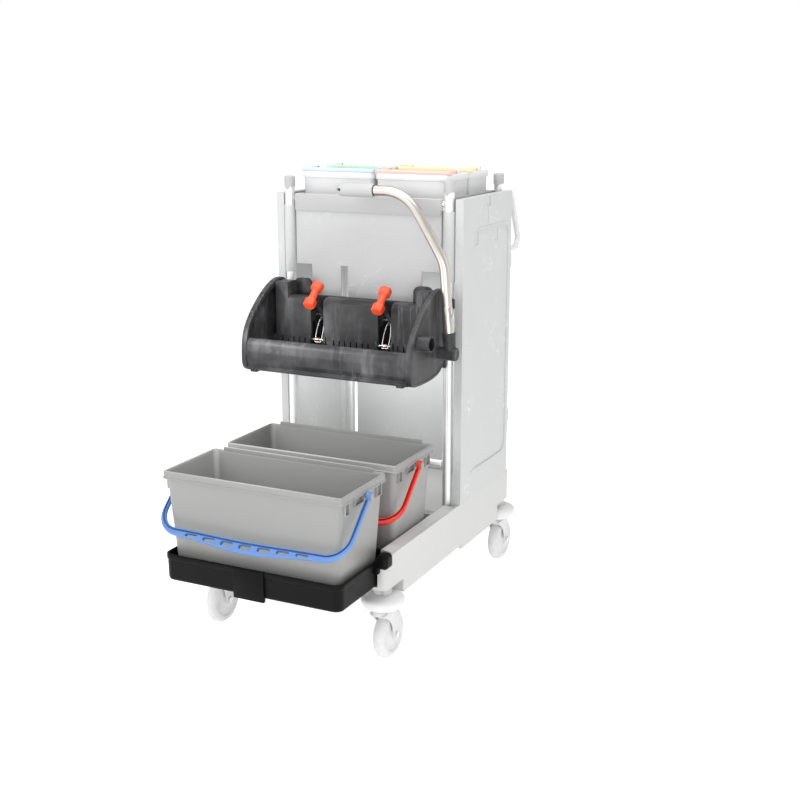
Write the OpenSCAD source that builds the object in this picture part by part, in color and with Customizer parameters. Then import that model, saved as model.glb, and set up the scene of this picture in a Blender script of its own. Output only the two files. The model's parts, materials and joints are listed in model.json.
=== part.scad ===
// Double mop bucket trolley: a cabinet on castors with a mop press over two buckets.
// Millimetres, +Z up, front of the trolley towards -Y, origin on the floor at the middle of the whole.
// Pieces are laid out from the front posts: x = 0 half way between them, y = 0 at their centres.

/* [Posts and rails] */
// Distance across between the post centres
post_span = 454; // [444:1:460]
// Distance from the front to the rear post centres
post_depth = 325; // [315:1:345]
// Outside diameter of the posts
post_d = 25; // [22:0.5:26]
// Wall of the steel tubes
tube_wall = 1.5; // [1:0.1:2.5]
// Height of the post tops above the floor
post_top = 1096; // [1085:1:1150]
// Height of the caps on the posts
cap_h = 27; // [20:1:34]
// Wall of the caps on the posts
cap_wall = 1.5; // [1:0.1:2]
// Height of the lower cross rail
lower_rail_z = 378; // [330:1:430]
// Diameter of the lower cross rail
lower_rail_d = 20; // [16:0.5:24]
// Height of the flat upper rails
upper_rail_h = 25; // [18:1:30]
// Thickness of the flat upper rails
upper_rail_t = 6; // [4:0.5:8]
// Diameter of the push loops
loop_d = 16; // [12:0.5:20]
// Reach of the push loops behind the rear posts
loop_reach = 155; // [130:1:180]
// Height of the push loops
loop_h = 154; // [130:1:180]
// Length of the level upper run of the push loops
loop_run = 80; // [60:1:100]
// Height of the lower slope of the push loops
loop_slope = 23; // [15:1:30]

/* [Base] */
// Width of the base
base_w = 524; // [520:1:536]
// Reach of the base in front of the front posts
base_front = 420; // [414:1:430]
// Reach of the base behind the rear posts
base_rear = 33; // [33:1:50]
// Radius of the base corners in plan
base_r = 16; // [10:1:24]
// Wall of the base
base_wall = 8; // [6:0.5:10]
// Thickness of the base floors
base_floor = 5; // [3:0.5:6]
// Height of the side walls
side_wall_h = 81; // [76:1:95]
// Height of the front wall
front_wall_h = 60; // [50:1:70]
// Height of the rear deck over the underside
deck_h = 58; // [50:1:66]
// Drop of the side skirts below the underside
skirt_drop = 33; // [15:1:34]
// Further drop of the skirts beside the cabinet
skirt_step = 11; // [6:1:16]
// Gap between the bumpers and the underside of the base
base_lift = 17.7; // [12:0.1:24]

/* [Castors] */
// Diameter of the wheels
wheel_d = 120; // [100:1:125]
// Width of the wheels
wheel_w = 32; // [26:1:36]
// Distance the axle trails behind the swivel
castor_trail = 29; // [20:1:36]
// Diameter of the axles
axle_d = 8; // [6:0.5:10]
// Diameter of the swivel stems
stem_d = 14; // [12:0.5:18]
// Inset of the swivels from the base sides
castor_inset = 26; // [24:1:30]
// Diameter of the bumper discs
bumper_d = 104; // [90:1:112]
// Height of the bumper discs
bumper_h = 37; // [30:1:40]

/* [Cabinet] */
// Thickness of the side panels
panel_t = 21.5; // [16:0.5:24]
// Wall of the moulded panels
panel_wall = 4; // [3:0.5:5]
// Drop of the panel tops below the post tops
panel_drop = 39; // [34:1:44]
// Lower edge of the front panel over the press underside
front_panel_lift = 24; // [10:1:60]
// Height of the notches in the front panel, from the press underside
notch_h = 249; // [200:1:280]
// Distance from the front posts to the notch in the door's top edge
door_notch_y = 221; // [180:1:250]
// Depth of the recess in the door
door_recess = 2; // [1:0.5:2.5]
// Depth of the top tray
top_tray_h = 52; // [44:1:60]

/* [Caddies] */
// Width of a caddy
caddy_w = 210; // [180:1:211]
// Depth of a caddy
caddy_l = 128; // [110:1:132]
// Height of a caddy
caddy_h = 108; // [90:1:130]
// Wall of a caddy
caddy_wall = 3; // [2:0.5:4]

/* [Buckets] */
// Room from the base's outer side to a bucket's rim
bucket_side = 22; // [21:1:38]
// Depth of a bucket over its rim
bucket_l = 220; // [200:1:224]
// Height of a bucket
bucket_h = 260; // [230:1:275]
// Draw-in of each bucket wall from top to bottom
bucket_taper = 17; // [10:1:22]
// Radius of the bucket corners at the top
bucket_r = 22; // [21:1:34]
// Radius of the rim's corners
rim_r = 14; // [10:1:20]
// Width of the rolled rim outside the wall
rim_lip = 6; // [4:0.5:8]
// Height of the rolled rim
rim_h = 18; // [10:1:22]
// Height of the raised lip at the back of a bucket
lip_h = 8; // [4:1:12]
// Wall of a bucket
bucket_wall = 3; // [2:0.5:4]
// Distance from the front posts to the front bucket's middle
front_bucket_y = 476; // [470:1:484]
// Distance from the front posts to the rear bucket's middle
rear_bucket_y = 211; // [200:1:220]
// Length of a bail from its pivot to its outer edge
bail_reach = 190; // [180:1:196]
// Angle of the bails below level
bail_tilt = 43; // [40:1:47]
// Width of the bail's bar
bail_w = 20; // [16:1:24]
// Thickness of a bail
bail_t = 10; // [8:0.5:12]
// Diameter of the bail pivots
bail_pin_d = 10; // [8:0.5:12]

/* [Tray] */
// Room beside the tray, from its wall to the side wall of the base
tray_room = 17; // [16:1:21]
// Reach of the tray in front of the front posts
tray_front = 595; // [590:1:605]
// Height of the tray
tray_h = 66; // [56:1:76]
// Wall of the tray
tray_wall = 4; // [3:0.5:5]

/* [Press] */
// Height of the press underside above the floor
press_z = 626; // [615:1:660]
// Outside width of the press over its cheeks
press_w = 472; // [466:1:476]
// Thickness of the cheeks
cheek_t = 15; // [12:1:18]
// Height of the press
press_h = 219; // [200:1:230]
// Distance from the front posts to the back of the cheeks
press_back_y = 38; // [36:1:42]
// Depth of the press from front to back
press_depth = 200; // [195:1:205]
// Height of the shoulder where a cheek's front starts to round over
shoulder_h = 68; // [60:1:80]
// Depth of the rounded front of a cheek
crown_run = 160; // [140:1:165]
// Thickness of the press floor
press_floor_t = 6; // [4:0.5:8]
// Thickness of the moving plate
plate_t = 7; // [5:0.5:8]
// Height of the middle of the moving plate
plate_h = 168; // [160:1:175]
// Outside diameter of the socket on the cheek
socket_od = 38; // [36:0.5:42]
// Bore of the socket on the cheek
socket_bore = 32; // [26:0.5:34]
// Length of the socket on the cheek
socket_l = 32; // [20:1:36]

/* [Lever] */
// Diameter of the lever tube
lever_d = 25; // [22:0.5:26]
// Height of the lever's upper run over its pivot
lever_rise = 390; // [380:1:400]
// Height of the lever's knee over its pivot
knee_rise = 222; // [215:1:235]
// Bend radius of the lever
lever_bend_r = 105; // [90:1:115]
// Lean of the lever's lower run
lever_lean = 4.6; // [3:0.1:5]
// Lean of the lever between its two bends
lever_slope = 31; // [28:0.5:34]
// Length of the level run between the upper bend and the grip
lever_level = 29; // [20:1:40]
// Diameter of the press shaft
shaft_d = 16; // [12:0.5:18]
// Length of the cam arms on the shaft
cam_arm = 70; // [66:1:72]
// Swing of the lever
lever_swing = 52; // [40:1:52]
// Diameter of the hand grip
grip_d = 35; // [30:1:40]
// Length of the hand grip
grip_l = 102; // [90:1:120]
// Diameter of the hanging hole in the grip
grip_hole_d = 9; // [6:0.5:11]

/* [Latches] */
// Distance of each latch from the middle
latch_x = 96; // [90:1:104]
// Diameter of the latch pins
latch_pin_d = 6; // [5:0.5:8]
// Width of the slots for the latches
latch_slot = 36; // [34:1:42]
// Width of a latch knob across its flats
knob_af = 29; // [24:1:31]
// Length of a latch knob
knob_l = 74; // [60:1:78]
// Diameter of the latch wire
wire_d = 4; // [3:0.5:4.5]
// Diameter of the catch rollers
roller_d = 10; // [8:0.5:11]

/* [Hidden] */
$fn = 48;
// Clearances: play in a running fit, gap between bodies, room between pieces that pass each other
play = 0.05;
gap = 0.3;
room = 1.5;
over = 1;

// Colours
pale_panel = [0.82, 0.83, 0.84];
pale_base = [0.80, 0.80, 0.80];
steel = [0.90, 0.90, 0.89];
warm_steel = [0.74, 0.70, 0.64];
black_plastic = [0.13, 0.13, 0.14];
bucket_grey = [0.62, 0.62, 0.63];
knob_red = [0.95, 0.30, 0.18];

// Heights of the castors and the base
crown_gap = 4;
crown_t = 9;
collar_h = 3;
crown_z = wheel_d + crown_gap;
collar_top = crown_z + crown_t + collar_h;
bumper_z = collar_top + gap;
base_z = bumper_z + bumper_h + base_lift;
well_h = 6;
well_step = 4;
well_z = base_z + well_h;
seat_z = well_z + well_step;
deck_z = base_z + deck_h;
wall_top = base_z + side_wall_h;
front_wall_top = base_z + front_wall_h;
skirt_z = base_z - skirt_drop;
stem_top = base_z + 4;

// Plan of the base
post_x = post_span / 2;
base_back = post_depth + base_rear;
base_l = base_front + base_back;
tray_w = base_w - 2 * (base_wall + tray_room);
bucket_w = base_w - 2 * bucket_side;
base_mid = (base_back - base_front) / 2;
riser_y = -36;
step_y = -344;
castor_x = base_w / 2 - castor_inset;
castor_front_y = -base_front + 32;
castor_rear_y = base_back - 28;
boss_d = 44;
skirt_front = castor_front_y + 58;
skirt_back = castor_rear_y - 58;
skirt_step_y = riser_y + 54;
post_seat_z = base_z + 4;
post_socket_d = post_d + 11;

// Levels of the cabinet
panel_top = post_top - panel_drop;
panel_out = post_x + post_d / 2 + 5 + panel_t;
panel_in = panel_out - panel_t;
panel_front = -2;
panel_back = post_depth + 7;
rail_top = panel_top - 5;
rail_front = 2;
rail_back = rail_front + upper_rail_t;
rail_end = post_x - post_d / 2 - 0.2;
hook_t = 4;
front_panel_t = 5;
front_panel_w = post_span - 38;
panel_slot = [-77, -56];
panel_tongues = [-163, 154];
tongue_top = press_z + notch_h;

// Caddies in the top tray
tray_floor_z = rail_top - top_tray_h;
caddy_z = tray_floor_z + hook_t + gap;
caddy_top = caddy_z + caddy_h;
caddy_gap = 4;
caddy_x = (caddy_w + caddy_gap) / 2;
caddy_set = 30;
caddy_rear_row = post_depth - caddy_set - caddy_l / 2;
caddy_front_row = caddy_rear_row - caddy_l - caddy_gap;
handle_h = 9;
handle_pivot_z = caddy_top + gap + handle_h / 2;
handle_pin_d = 5;
lug_t = 6;
handle_arm = 11;
lug_x = caddy_w / 2 - lug_t - 0.5;
handle_out = lug_x - gap;

// Buckets and bails
front_bucket_z = well_z + tray_wall + gap;
rear_bucket_z = seat_z + gap;
lip_inset = 34;
bail_pivot_drop = rim_h + bail_pin_d / 2 + over;
bail_in = bucket_w / 2 + 3;
bail_arm = 10.4;
finger_pitch = 49;
finger_hole = [33, 9];

// Press and its moving pieces
cheek_in = press_w / 2 - cheek_t;
press_front_y = -press_back_y - press_depth;
press_top = press_z + press_h;
floor_rise = 4;
floor_z = press_z + floor_rise;
floor_top = floor_z + press_floor_t;
front_bar_t = 24;
foot_inset = 84;
foot_x = cheek_in - foot_inset;
shaft_set = 38;
shaft_rise = 62;
shaft_y = -press_back_y - shaft_set;
shaft_z = press_z + shaft_rise;
cam_lag = lever_swing / 2;
cam_roller_d = 10;
cam_gap = 1.2;
cam_x = 148;
plate_set = 14;
plate_back = shaft_y - plate_set;
plate_front = plate_back - plate_t;
plate_bottom = floor_top + gap;
plate_top = plate_bottom + plate_h;
ear_in = 182;
ear_gap = 3;
ear_out = cheek_in - ear_gap;
latch_set = 32;
latch_drop = 50;
latch_y = plate_back + latch_set;
latch_z = plate_top - latch_drop;
knob_reach = [-54, 59];
catch_y = plate_front;
catch_drop = 108;
catch_z = plate_top - catch_drop;
catch_pin_d = 4;
catch_lug = 5;
latch_lug_t = 6;
hook_turn = 18;
wire_pivot = [-12, -6];
wire_gauge = 8;
back_t = 11;
bolt_d = 8;
bolt_low = 94;
bolt_high = 174;
bolt_z = [press_z + bolt_low, press_z + bolt_high];
socket_set = 112;
socket_rise = 44;
socket_y = shaft_y - socket_set;
socket_z = shaft_z + socket_rise;

// Lever, from the pivot on its shaft
lever_out = 30;
elbow_over = 18;
lever_x = press_w / 2 + lever_out;
elbow_end = lever_x + elbow_over;
lever_top_z = shaft_z + lever_rise;
elbow_d = lever_d + 5;
elbow_h = 52;
knee_turn = lever_slope - lever_lean;
bend_turn = 90 - lever_slope;
knee_tangent = lever_bend_r * tan(knee_turn / 2);
bend_tangent = lever_bend_r * tan(bend_turn / 2);
lever_run = knee_rise / cos(lever_lean) - knee_tangent;
slope_run = (lever_rise - knee_rise) / cos(lever_slope) - knee_tangent - bend_tangent;
lever_corner_x = lever_x - knee_rise * tan(lever_lean) - (lever_rise - knee_rise) * tan(lever_slope);
grip_start = lever_corner_x - bend_tangent - lever_level;

// Reach of the whole to the front and to the back, which sets the origin
bail_front_y = front_bucket_y + bail_reach * cos(bail_tilt) + bail_t / 2 * sin(bail_tilt);
loop_back_y = post_depth + loop_reach + loop_d / 2;
front_posts_y = (bail_front_y - loop_back_y) / 2;

// From the front posts to the origin of the whole
module from_posts() {
  translate([0, front_posts_y, 0]) children();
}

// Rounded rectangle, centred
module slab(w, l, r) {
  square([w - 2 * r, l], center = true);
  square([w, l - 2 * r], center = true);
  for (sx = [-1, 1], sy = [-1, 1])
    translate([sx * (w / 2 - r), sy * (l / 2 - r)]) circle(r);
}

// Box between two corners
module span(low, high) {
  translate(low) cube(high - low);
}

// Cylinder along X between two places
module bar_x(x0, x1, y, z, d) {
  translate([x0, y, z]) rotate([0, 90, 0]) cylinder(d = d, h = x1 - x0);
}

// Cylinder along Y between two places
module bar_y(y0, y1, x, z, d) {
  translate([x, y0, z]) rotate([-90, 0, 0]) cylinder(d = d, h = y1 - y0);
}

// Outline in the YZ plane, drawn along X
module side_profile(x0, x1) {
  translate([x0, 0, 0]) rotate([90, 0, 90]) linear_extrude(x1 - x0) children();
}

// Places of the four posts and of the four castors
module at_posts(rows = [0, 1]) {
  for (sx = [-1, 1], row = rows)
    translate([sx * post_x, row * post_depth, 0]) children();
}

module at_castors() {
  for (sx = [-1, 1], y = [castor_front_y, castor_rear_y])
    translate([sx * castor_x, y, 0]) children();
}

// Base moulding: walls, well for the buckets, rear deck, skirts, castor bosses and post sockets
module base_shell() {
  inner = base_w / 2 - base_wall;
  difference() {
    union() {
      translate([0, base_mid, base_z]) linear_extrude(side_wall_h) slab(base_w, base_l, base_r);
      span([-base_w / 2, skirt_front, skirt_z], [base_w / 2, skirt_back, base_z + over]);
      span([-base_w / 2, skirt_step_y, skirt_z - skirt_step], [base_w / 2, skirt_back, base_z + over]);
    }
    span([-inner, -base_front + base_wall, deck_z], [inner, base_back - base_wall, wall_top + over]);
    span([-inner, -base_front + base_wall, well_z], [inner, step_y, deck_z + over]);
    span([-inner, step_y - over, seat_z], [inner, riser_y, deck_z + over]);
    span([-base_w, -base_front - over, front_wall_top], [base_w, -base_front + base_r, wall_top + over]);
    span([-tray_w / 2 - room, -base_front - over, well_z],
         [tray_w / 2 + room, -base_front + base_wall + over, wall_top]);
    span([-inner, skirt_front + base_wall, skirt_z - over],
         [inner, riser_y - base_wall, well_z - base_floor]);
    span([-inner, riser_y + base_wall, skirt_z - skirt_step - over],
         [inner, base_back - base_wall, deck_z - base_floor]);
  }
}

module base() {
  color(pale_base) from_posts() difference() {
    union() {
      base_shell();
      at_castors() translate([0, 0, bumper_z + bumper_h]) cylinder(d = boss_d, h = base_lift + well_h);
      at_posts() translate([0, 0, base_z]) cylinder(d = post_socket_d, h = deck_h);
      for (sx = [0, 1], row = [0, 1]) mirror([sx, 0, 0])
        span([post_x, row * post_depth - base_wall / 2, base_z],
             [base_w / 2 - base_wall / 2, row * post_depth + base_wall / 2, deck_z - over]);
      span([-base_wall / 2, riser_y, base_z], [base_wall / 2, base_back - base_wall / 2, deck_z - over]);
    }
    at_castors() translate([0, 0, base_z - base_lift - over])
      cylinder(d = stem_d + 2 * play, h = stem_top + gap - base_z + base_lift + over);
    at_posts() translate([0, 0, post_seat_z]) cylinder(d = post_d + 2 * play, h = deck_h);
  }
}

// Round bumper disc over each castor
module castor_bumpers() {
  edge_r = 10;
  color([0.92, 0.92, 0.93]) from_posts() at_castors() translate([0, 0, bumper_z]) difference() {
    rotate_extrude() {
      square([bumper_d / 2 - edge_r, bumper_h]);
      translate([0, edge_r]) square([bumper_d / 2, bumper_h - 2 * edge_r]);
      for (z = [edge_r, bumper_h - edge_r])
        translate([bumper_d / 2 - edge_r, z]) circle(edge_r);
    }
    translate([0, 0, -over]) cylinder(d = stem_d + 2 * play, h = bumper_h + 2 * over);
  }
}

// Post tube from its socket to its cap
module post_tube() {
  translate([0, 0, post_seat_z]) difference() {
    cylinder(d = post_d, h = post_top - post_seat_z);
    translate([0, 0, -over]) cylinder(d = post_d - 2 * tube_wall, h = post_top);
  }
}

module front_posts() {
  color(steel) from_posts() difference() {
    at_posts([0]) post_tube();
    for (sx = [-1, 1], z = bolt_z)
      bar_y(-post_d, post_d, sx * post_x, z, bolt_d + 2 * play);
  }
}

module rear_posts() {
  color(steel) from_posts() at_posts([1]) post_tube();
}

module post_caps() {
  cavity = cap_h - 5;
  color([0.70, 0.70, 0.70]) from_posts() at_posts() translate([0, 0, post_top - cavity]) difference() {
    cylinder(d = post_d + 2 * (cap_wall + play), h = cap_h);
    translate([0, 0, -over]) cylinder(d = post_d + 2 * play, h = cavity + over);
  }
}

// Plastic sleeves on the front posts between the press and the upper rail
module post_sleeves() {
  wall = 2.5;
  low = press_z + press_h + 8;
  color(pale_panel) from_posts() at_posts([0]) translate([0, 0, low]) difference() {
    cylinder(d = post_d + 2 * (wall + play), h = rail_top - upper_rail_h - low);
    translate([0, 0, -over]) cylinder(d = post_d + 2 * play, h = rail_top);
  }
}

// Flat upper rails at the front and back, and the round lower rail behind the buckets
module cross_rails() {
  color(steel) from_posts() {
    span([-rail_end, rail_front, rail_top - upper_rail_h], [rail_end, rail_back, rail_top]);
    span([-rail_end, post_depth - upper_rail_t / 2, rail_top - upper_rail_h],
         [rail_end, post_depth + upper_rail_t / 2, rail_top]);
    bar_x(-rail_end, rail_end, 0, lower_rail_z, lower_rail_d);
  }
}

// Panel hung on the front upper rail, notched at its lower edge
module front_panel() {
  half = front_panel_w / 2;
  low = press_z + front_panel_lift;
  back = rail_front - gap;
  front = back - front_panel_t;
  flange_t = 4;
  color(pale_panel) from_posts() difference() {
    union() {
      span([-half, front, low], [half, back, rail_top + hook_t]);
      span([-half, front - flange_t, rail_top - upper_rail_h], [half, front + over, rail_top]);
      span([-half, front, rail_top], [half, rail_front + upper_rail_t / 2, rail_top + hook_t]);
    }
    for (x = [[-half - over, panel_tongues[0]], panel_slot, [panel_tongues[1], half + over]])
      span([x[0], front - over, low - over], [x[1], back + over, tongue_top]);
  }
}

module back_panel() {
  half = rail_end - 6;
  front = post_depth + upper_rail_t / 2;
  lift = 5;
  color(pale_panel) from_posts()
    span([-half, front, deck_z + lift], [half, front + front_panel_t, rail_top]);
}

// Moulded pan of a side panel: skin outside, flange turned inwards all round
module side_pan(back, low) {
  difference() {
    span([panel_in, panel_front, low], [panel_out, back, panel_top]);
    span([panel_in - over, panel_front + panel_wall, low + panel_wall],
         [panel_out - panel_wall, back - panel_wall, panel_top - panel_wall]);
  }
}

// Shallow rounded recess in the outer face of a side panel
module side_recess() {
  border = 38;
  head = 95;
  foot = 34;
  low = wall_top + foot;
  high = panel_top - head;
  mid_y = (panel_front + post_depth) / 2;
  translate([panel_out - door_recess, mid_y, (low + high) / 2]) rotate([90, 0, 90])
    linear_extrude(door_recess + over) slab(post_depth - 2 * border, high - low, 18);
}

module left_panel() {
  color(pale_panel) from_posts() mirror([1, 0, 0]) difference() {
    side_pan(panel_back, wall_top);
    side_recess();
  }
}

// Door on the right: pan with a recess, two vent slots, a top notch and two hinge knuckles
door_back = post_depth - 1;
hinge_x = post_x + 29;
hinge_y = post_depth + 12;
hinge_pin_d = 8;
knuckle_d = 14;
knuckle_h = 30;
hinge_rise = 150;
hinge_drop = 200;
hinge_zs = [wall_top + hinge_rise, panel_top - hinge_drop];

module side_door() {
  slot_w = 8;
  slot_h = 26;
  slot_off = 40;
  slot_drop = 170;
  notch_w = 22;
  notch_h = 26;
  notch_t = 3;
  notch_y = door_notch_y;
  color(pale_panel) from_posts() difference() {
    union() {
      side_pan(door_back, wall_top + gap);
      for (z = hinge_zs) {
        translate([hinge_x, hinge_y, z + gap]) cylinder(d = knuckle_d, h = knuckle_h);
        span([hinge_x - knuckle_d / 2, door_back - over, z + gap],
             [hinge_x + knuckle_d / 2, hinge_y, z + gap + knuckle_h]);
      }
    }
    side_recess();
    for (z = hinge_zs)
      translate([hinge_x, hinge_y, z - over]) cylinder(d = hinge_pin_d + 2 * play, h = knuckle_h + 3);
    for (y = [notch_y - slot_off, notch_y + slot_off])
      span([panel_in, y, panel_top - slot_drop],
           [panel_out + over, y + slot_w, panel_top - slot_drop + slot_h]);
    span([panel_out - notch_t, notch_y, panel_top - notch_h],
         [panel_out + over, notch_y + notch_w, panel_top + over]);
  }
}

// Hinge brackets of the door: a ring on the rear post, an arm and a pin
module door_hinges() {
  arm_t = 6;
  arm_w = 10;
  ring_wall = 4;
  pin_over = 4;
  ring_d = post_d + 2 * ring_wall;
  reach = norm([hinge_x - post_x, hinge_y - post_depth]);
  turn = atan2(hinge_y - post_depth, hinge_x - post_x);
  color(steel) from_posts() for (z = hinge_zs) translate([post_x, post_depth, z]) rotate([0, 0, turn]) {
    translate([0, 0, -arm_t]) linear_extrude(arm_t) difference() {
      union() {
        circle(d = ring_d);
        translate([0, -arm_w / 2]) square([reach, arm_w]);
        translate([reach, 0]) circle(d = knuckle_d);
      }
      circle(d = post_d + 2 * play);
    }
    translate([reach, 0, -over]) cylinder(d = hinge_pin_d, h = over + knuckle_h + pin_over);
  }
}

// Open tray under the caddies, hung on the upper rails
module top_tray() {
  half = rail_end - 1;
  front = rail_back + 1;
  back = post_depth - upper_rail_t / 2 - 1;
  lip_front = rail_front + upper_rail_t / 2 + gap;
  color(pale_panel) from_posts() difference() {
    union() {
      span([-half, front, tray_floor_z], [half, back, rail_top + hook_t]);
      span([-half, lip_front, rail_top], [half, post_depth + upper_rail_t / 2, rail_top + hook_t]);
    }
    span([-half + hook_t, front + hook_t, tray_floor_z + hook_t],
         [half - hook_t, back - hook_t, rail_top + hook_t + over]);
  }
}

// Bent loops to push by, one behind each rear post
module push_loops() {
  start = post_depth + post_d / 2 + 0.2;
  top = post_top - 52;
  path = [
    [start, top], [start + loop_run, top],
    [post_depth + loop_reach, top - loop_h + loop_slope],
    [post_depth + loop_reach - 18, top - loop_h], [start, top - loop_h]
  ];
  color(steel) from_posts() for (sx = [-1, 1]) for (i = [0 : len(path) - 2]) {
    leg = path[i + 1] - path[i];
    translate([sx * post_x, path[i][0], path[i][1]]) {
      rotate([-90 + atan2(leg[1], leg[0]), 0, 0]) cylinder(d = loop_d, h = norm(leg));
      if (i > 0) sphere(d = loop_d + 2 * play);
    }
  }
}

// Black tray held in the front of the base, with the front bucket in it
module front_tray() {
  back = -step_y + 2;
  depth = tray_front - back;
  rim = 14;
  proud = 2;
  block_w = 64;
  block_drop = 8;
  corner = 22;
  mid = -(tray_front + back) / 2;
  color(black_plastic) from_posts() difference() {
    union() {
      translate([0, mid, well_z])
        linear_extrude(tray_h) slab(tray_w - 2 * proud, depth - 2 * proud, corner);
      translate([0, mid, well_z + tray_h - rim])
        linear_extrude(rim) slab(tray_w, depth, corner + proud);
      span([-block_w / 2, -tray_front - 4, well_z - block_drop],
           [block_w / 2, -tray_front + 8, well_z + tray_h]);
    }
    translate([0, mid, well_z + tray_wall]) linear_extrude(tray_h)
      slab(tray_w - 2 * (proud + tray_wall), depth - 2 * (proud + tray_wall), corner - tray_wall);
  }
}

// Hooked blocks that hold the tray over the ends of the base's front wall
module tray_clips() {
  low = front_wall_top - 26;
  x0 = tray_w / 2;
  x1 = base_w / 2 - base_wall - 1;
  color(black_plastic) from_posts() for (sx = [0, 1]) mirror([sx, 0, 0]) difference() {
    span([x0, -base_front - 16, low], [x1, -base_front + base_wall + 10, front_wall_top + 18]);
    span([x0 + room, -base_front - 0.1, low - over],
         [x1 + over, -base_front + base_wall + 0.1, front_wall_top]);
  }
}

// Outline of a cheek, front to back, with its rounded front shoulder
function cheek_outline(inset) =
  let (
    back = -press_back_y - inset,
    front = press_front_y + inset,
    low = press_z + inset,
    high = press_top - inset,
    shoulder = press_z + shoulder_h,
    rise = high - shoulder,
    run = crown_run - 2 * inset
  )
  concat(
    [[back, high], [back, low + 16], [back - 40, low]],
    [[front + 18, low + 2], [front, low + 28]],
    [for (a = [0 : 9 : 81]) [front + run * (1 - cos(a)), shoulder + rise * sin(a)]],
    [[front + run, high]]
  );

module cheek_plate() {
  rib = 6;
  pocket = 1.5;
  difference() {
    side_profile(cheek_in, press_w / 2) polygon(cheek_outline(0));
    side_profile(press_w / 2 - pocket, press_w / 2 + over) polygon(cheek_outline(rib));
  }
  bar_x(cheek_in, press_w / 2, shaft_y, shaft_z, shaft_d + 14);
}

module press_cheek_left() {
  color(black_plastic) from_posts() mirror([1, 0, 0]) difference() {
    cheek_plate();
    bar_x(cheek_in - over, press_w / 2 + over, shaft_y, shaft_z, shaft_d + 2 * play);
  }
}

module press_cheek_right() {
  color(black_plastic) from_posts() difference() {
    union() {
      cheek_plate();
      bar_x(cheek_in + over, press_w / 2 + socket_l, socket_y, socket_z, socket_od);
    }
    bar_x(cheek_in - over, press_w / 2 + over, shaft_y, shaft_z, shaft_d + 2 * play);
    bar_x(press_w / 2, press_w / 2 + socket_l + over, socket_y, socket_z, socket_bore);
  }
}

// Front bar of the press with its rounded face
module press_front_bar() {
  back = press_front_y + front_bar_t;
  bar_low = 6;
  bar_high = 88;
  foot_w = 24;
  foot_h = 4;
  foot_y = 16;
  low = press_z + bar_low;
  high = press_z + bar_high;
  face = [
    [back, high], [press_front_y + 8, high - 2], [press_front_y + 1, high - 20],
    [press_front_y, low + 24], [press_front_y + 6, low + 8], [press_front_y + foot_y, low], [back, low]
  ];
  color(black_plastic) from_posts() {
    side_profile(-cheek_in, cheek_in) polygon(face);
    for (x = [-foot_x, 0, foot_x])
      span([x - foot_w / 2, press_front_y + foot_y, low - foot_h], [x + foot_w / 2, back, low + over]);
  }
}

// Drain floor between the cheeks
module press_floor() {
  front = press_front_y + front_bar_t;
  slots = 12;
  pitch = 2 * cheek_in / (slots + 1);
  color(black_plastic) from_posts() difference() {
    span([-cheek_in, front, floor_z], [cheek_in, -press_back_y, floor_top]);
    for (i = [1 : slots])
      span([-cheek_in + i * pitch - 5, front + 16, floor_z - over],
           [-cheek_in + i * pitch + 5, plate_front - 8, floor_top + over]);
  }
}

// Back of the press with rounded ears and saddles bolted to the front posts
module press_back() {
  front = -press_back_y;
  low = press_z + 16;
  ear_w = 50;
  ear_x = 172;
  ear_r = 16;
  ear_top = press_top - 3;
  saddle = [36, 12];
  head_d = bolt_d + 7;
  color(black_plastic) from_posts() difference() {
    union() {
      span([-press_w / 2, front, low], [press_w / 2, front + back_t, press_top - 45]);
      for (sx = [-1, 1]) {
        span([sx * ear_x - ear_w / 2, front, low],
             [sx * ear_x + ear_w / 2, front + back_t, ear_top - ear_r]);
        span([sx * ear_x - ear_w / 2 + ear_r, front, low],
             [sx * ear_x + ear_w / 2 - ear_r, front + back_t, ear_top]);
        for (side = [-1, 1])
          bar_y(front, front + back_t, sx * ear_x + side * (ear_w / 2 - ear_r), ear_top - ear_r, 2 * ear_r);
        for (z = bolt_z)
          span([sx * post_x - saddle[0] / 2, front + back_t - over, z - saddle[1]],
               [sx * post_x + saddle[0] / 2, -3, z + saddle[1]]);
      }
    }
    at_posts([0]) translate([0, 0, low - over]) cylinder(d = post_d + 2 * play, h = press_h);
    for (sx = [-1, 1], z = bolt_z) {
      bar_y(front - over, 0, sx * post_x, z, bolt_d + 2 * play);
      bar_y(front - over, front + 7.5, sx * post_x, z, head_d);
    }
  }
}

// Bolts through the posts, with washers and nuts behind
module press_bolts() {
  front = -press_back_y;
  nut_y = post_d / 2 + 0.1;
  head_t = 6;
  head_set = 1;
  head_over = 5;
  nut_t = 6.5;
  nut_over = 6.5;
  end_over = 1.5;
  color(steel) from_posts() for (sx = [-1, 1], z = bolt_z) {
    bar_y(front + head_set + head_t, nut_y + nut_t + end_over, sx * post_x, z, bolt_d);
    bar_y(front + head_set, front + head_set + head_t, sx * post_x, z, bolt_d + head_over);
    difference() {
      translate([sx * post_x, nut_y, z]) rotate([-90, 0, 0])
        cylinder(d = bolt_d + nut_over, h = nut_t, $fn = 6);
      bar_y(nut_y - over, nut_y + nut_t + 0.5, sx * post_x, z, bolt_d - 0.2);
    }
  }
}

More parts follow.
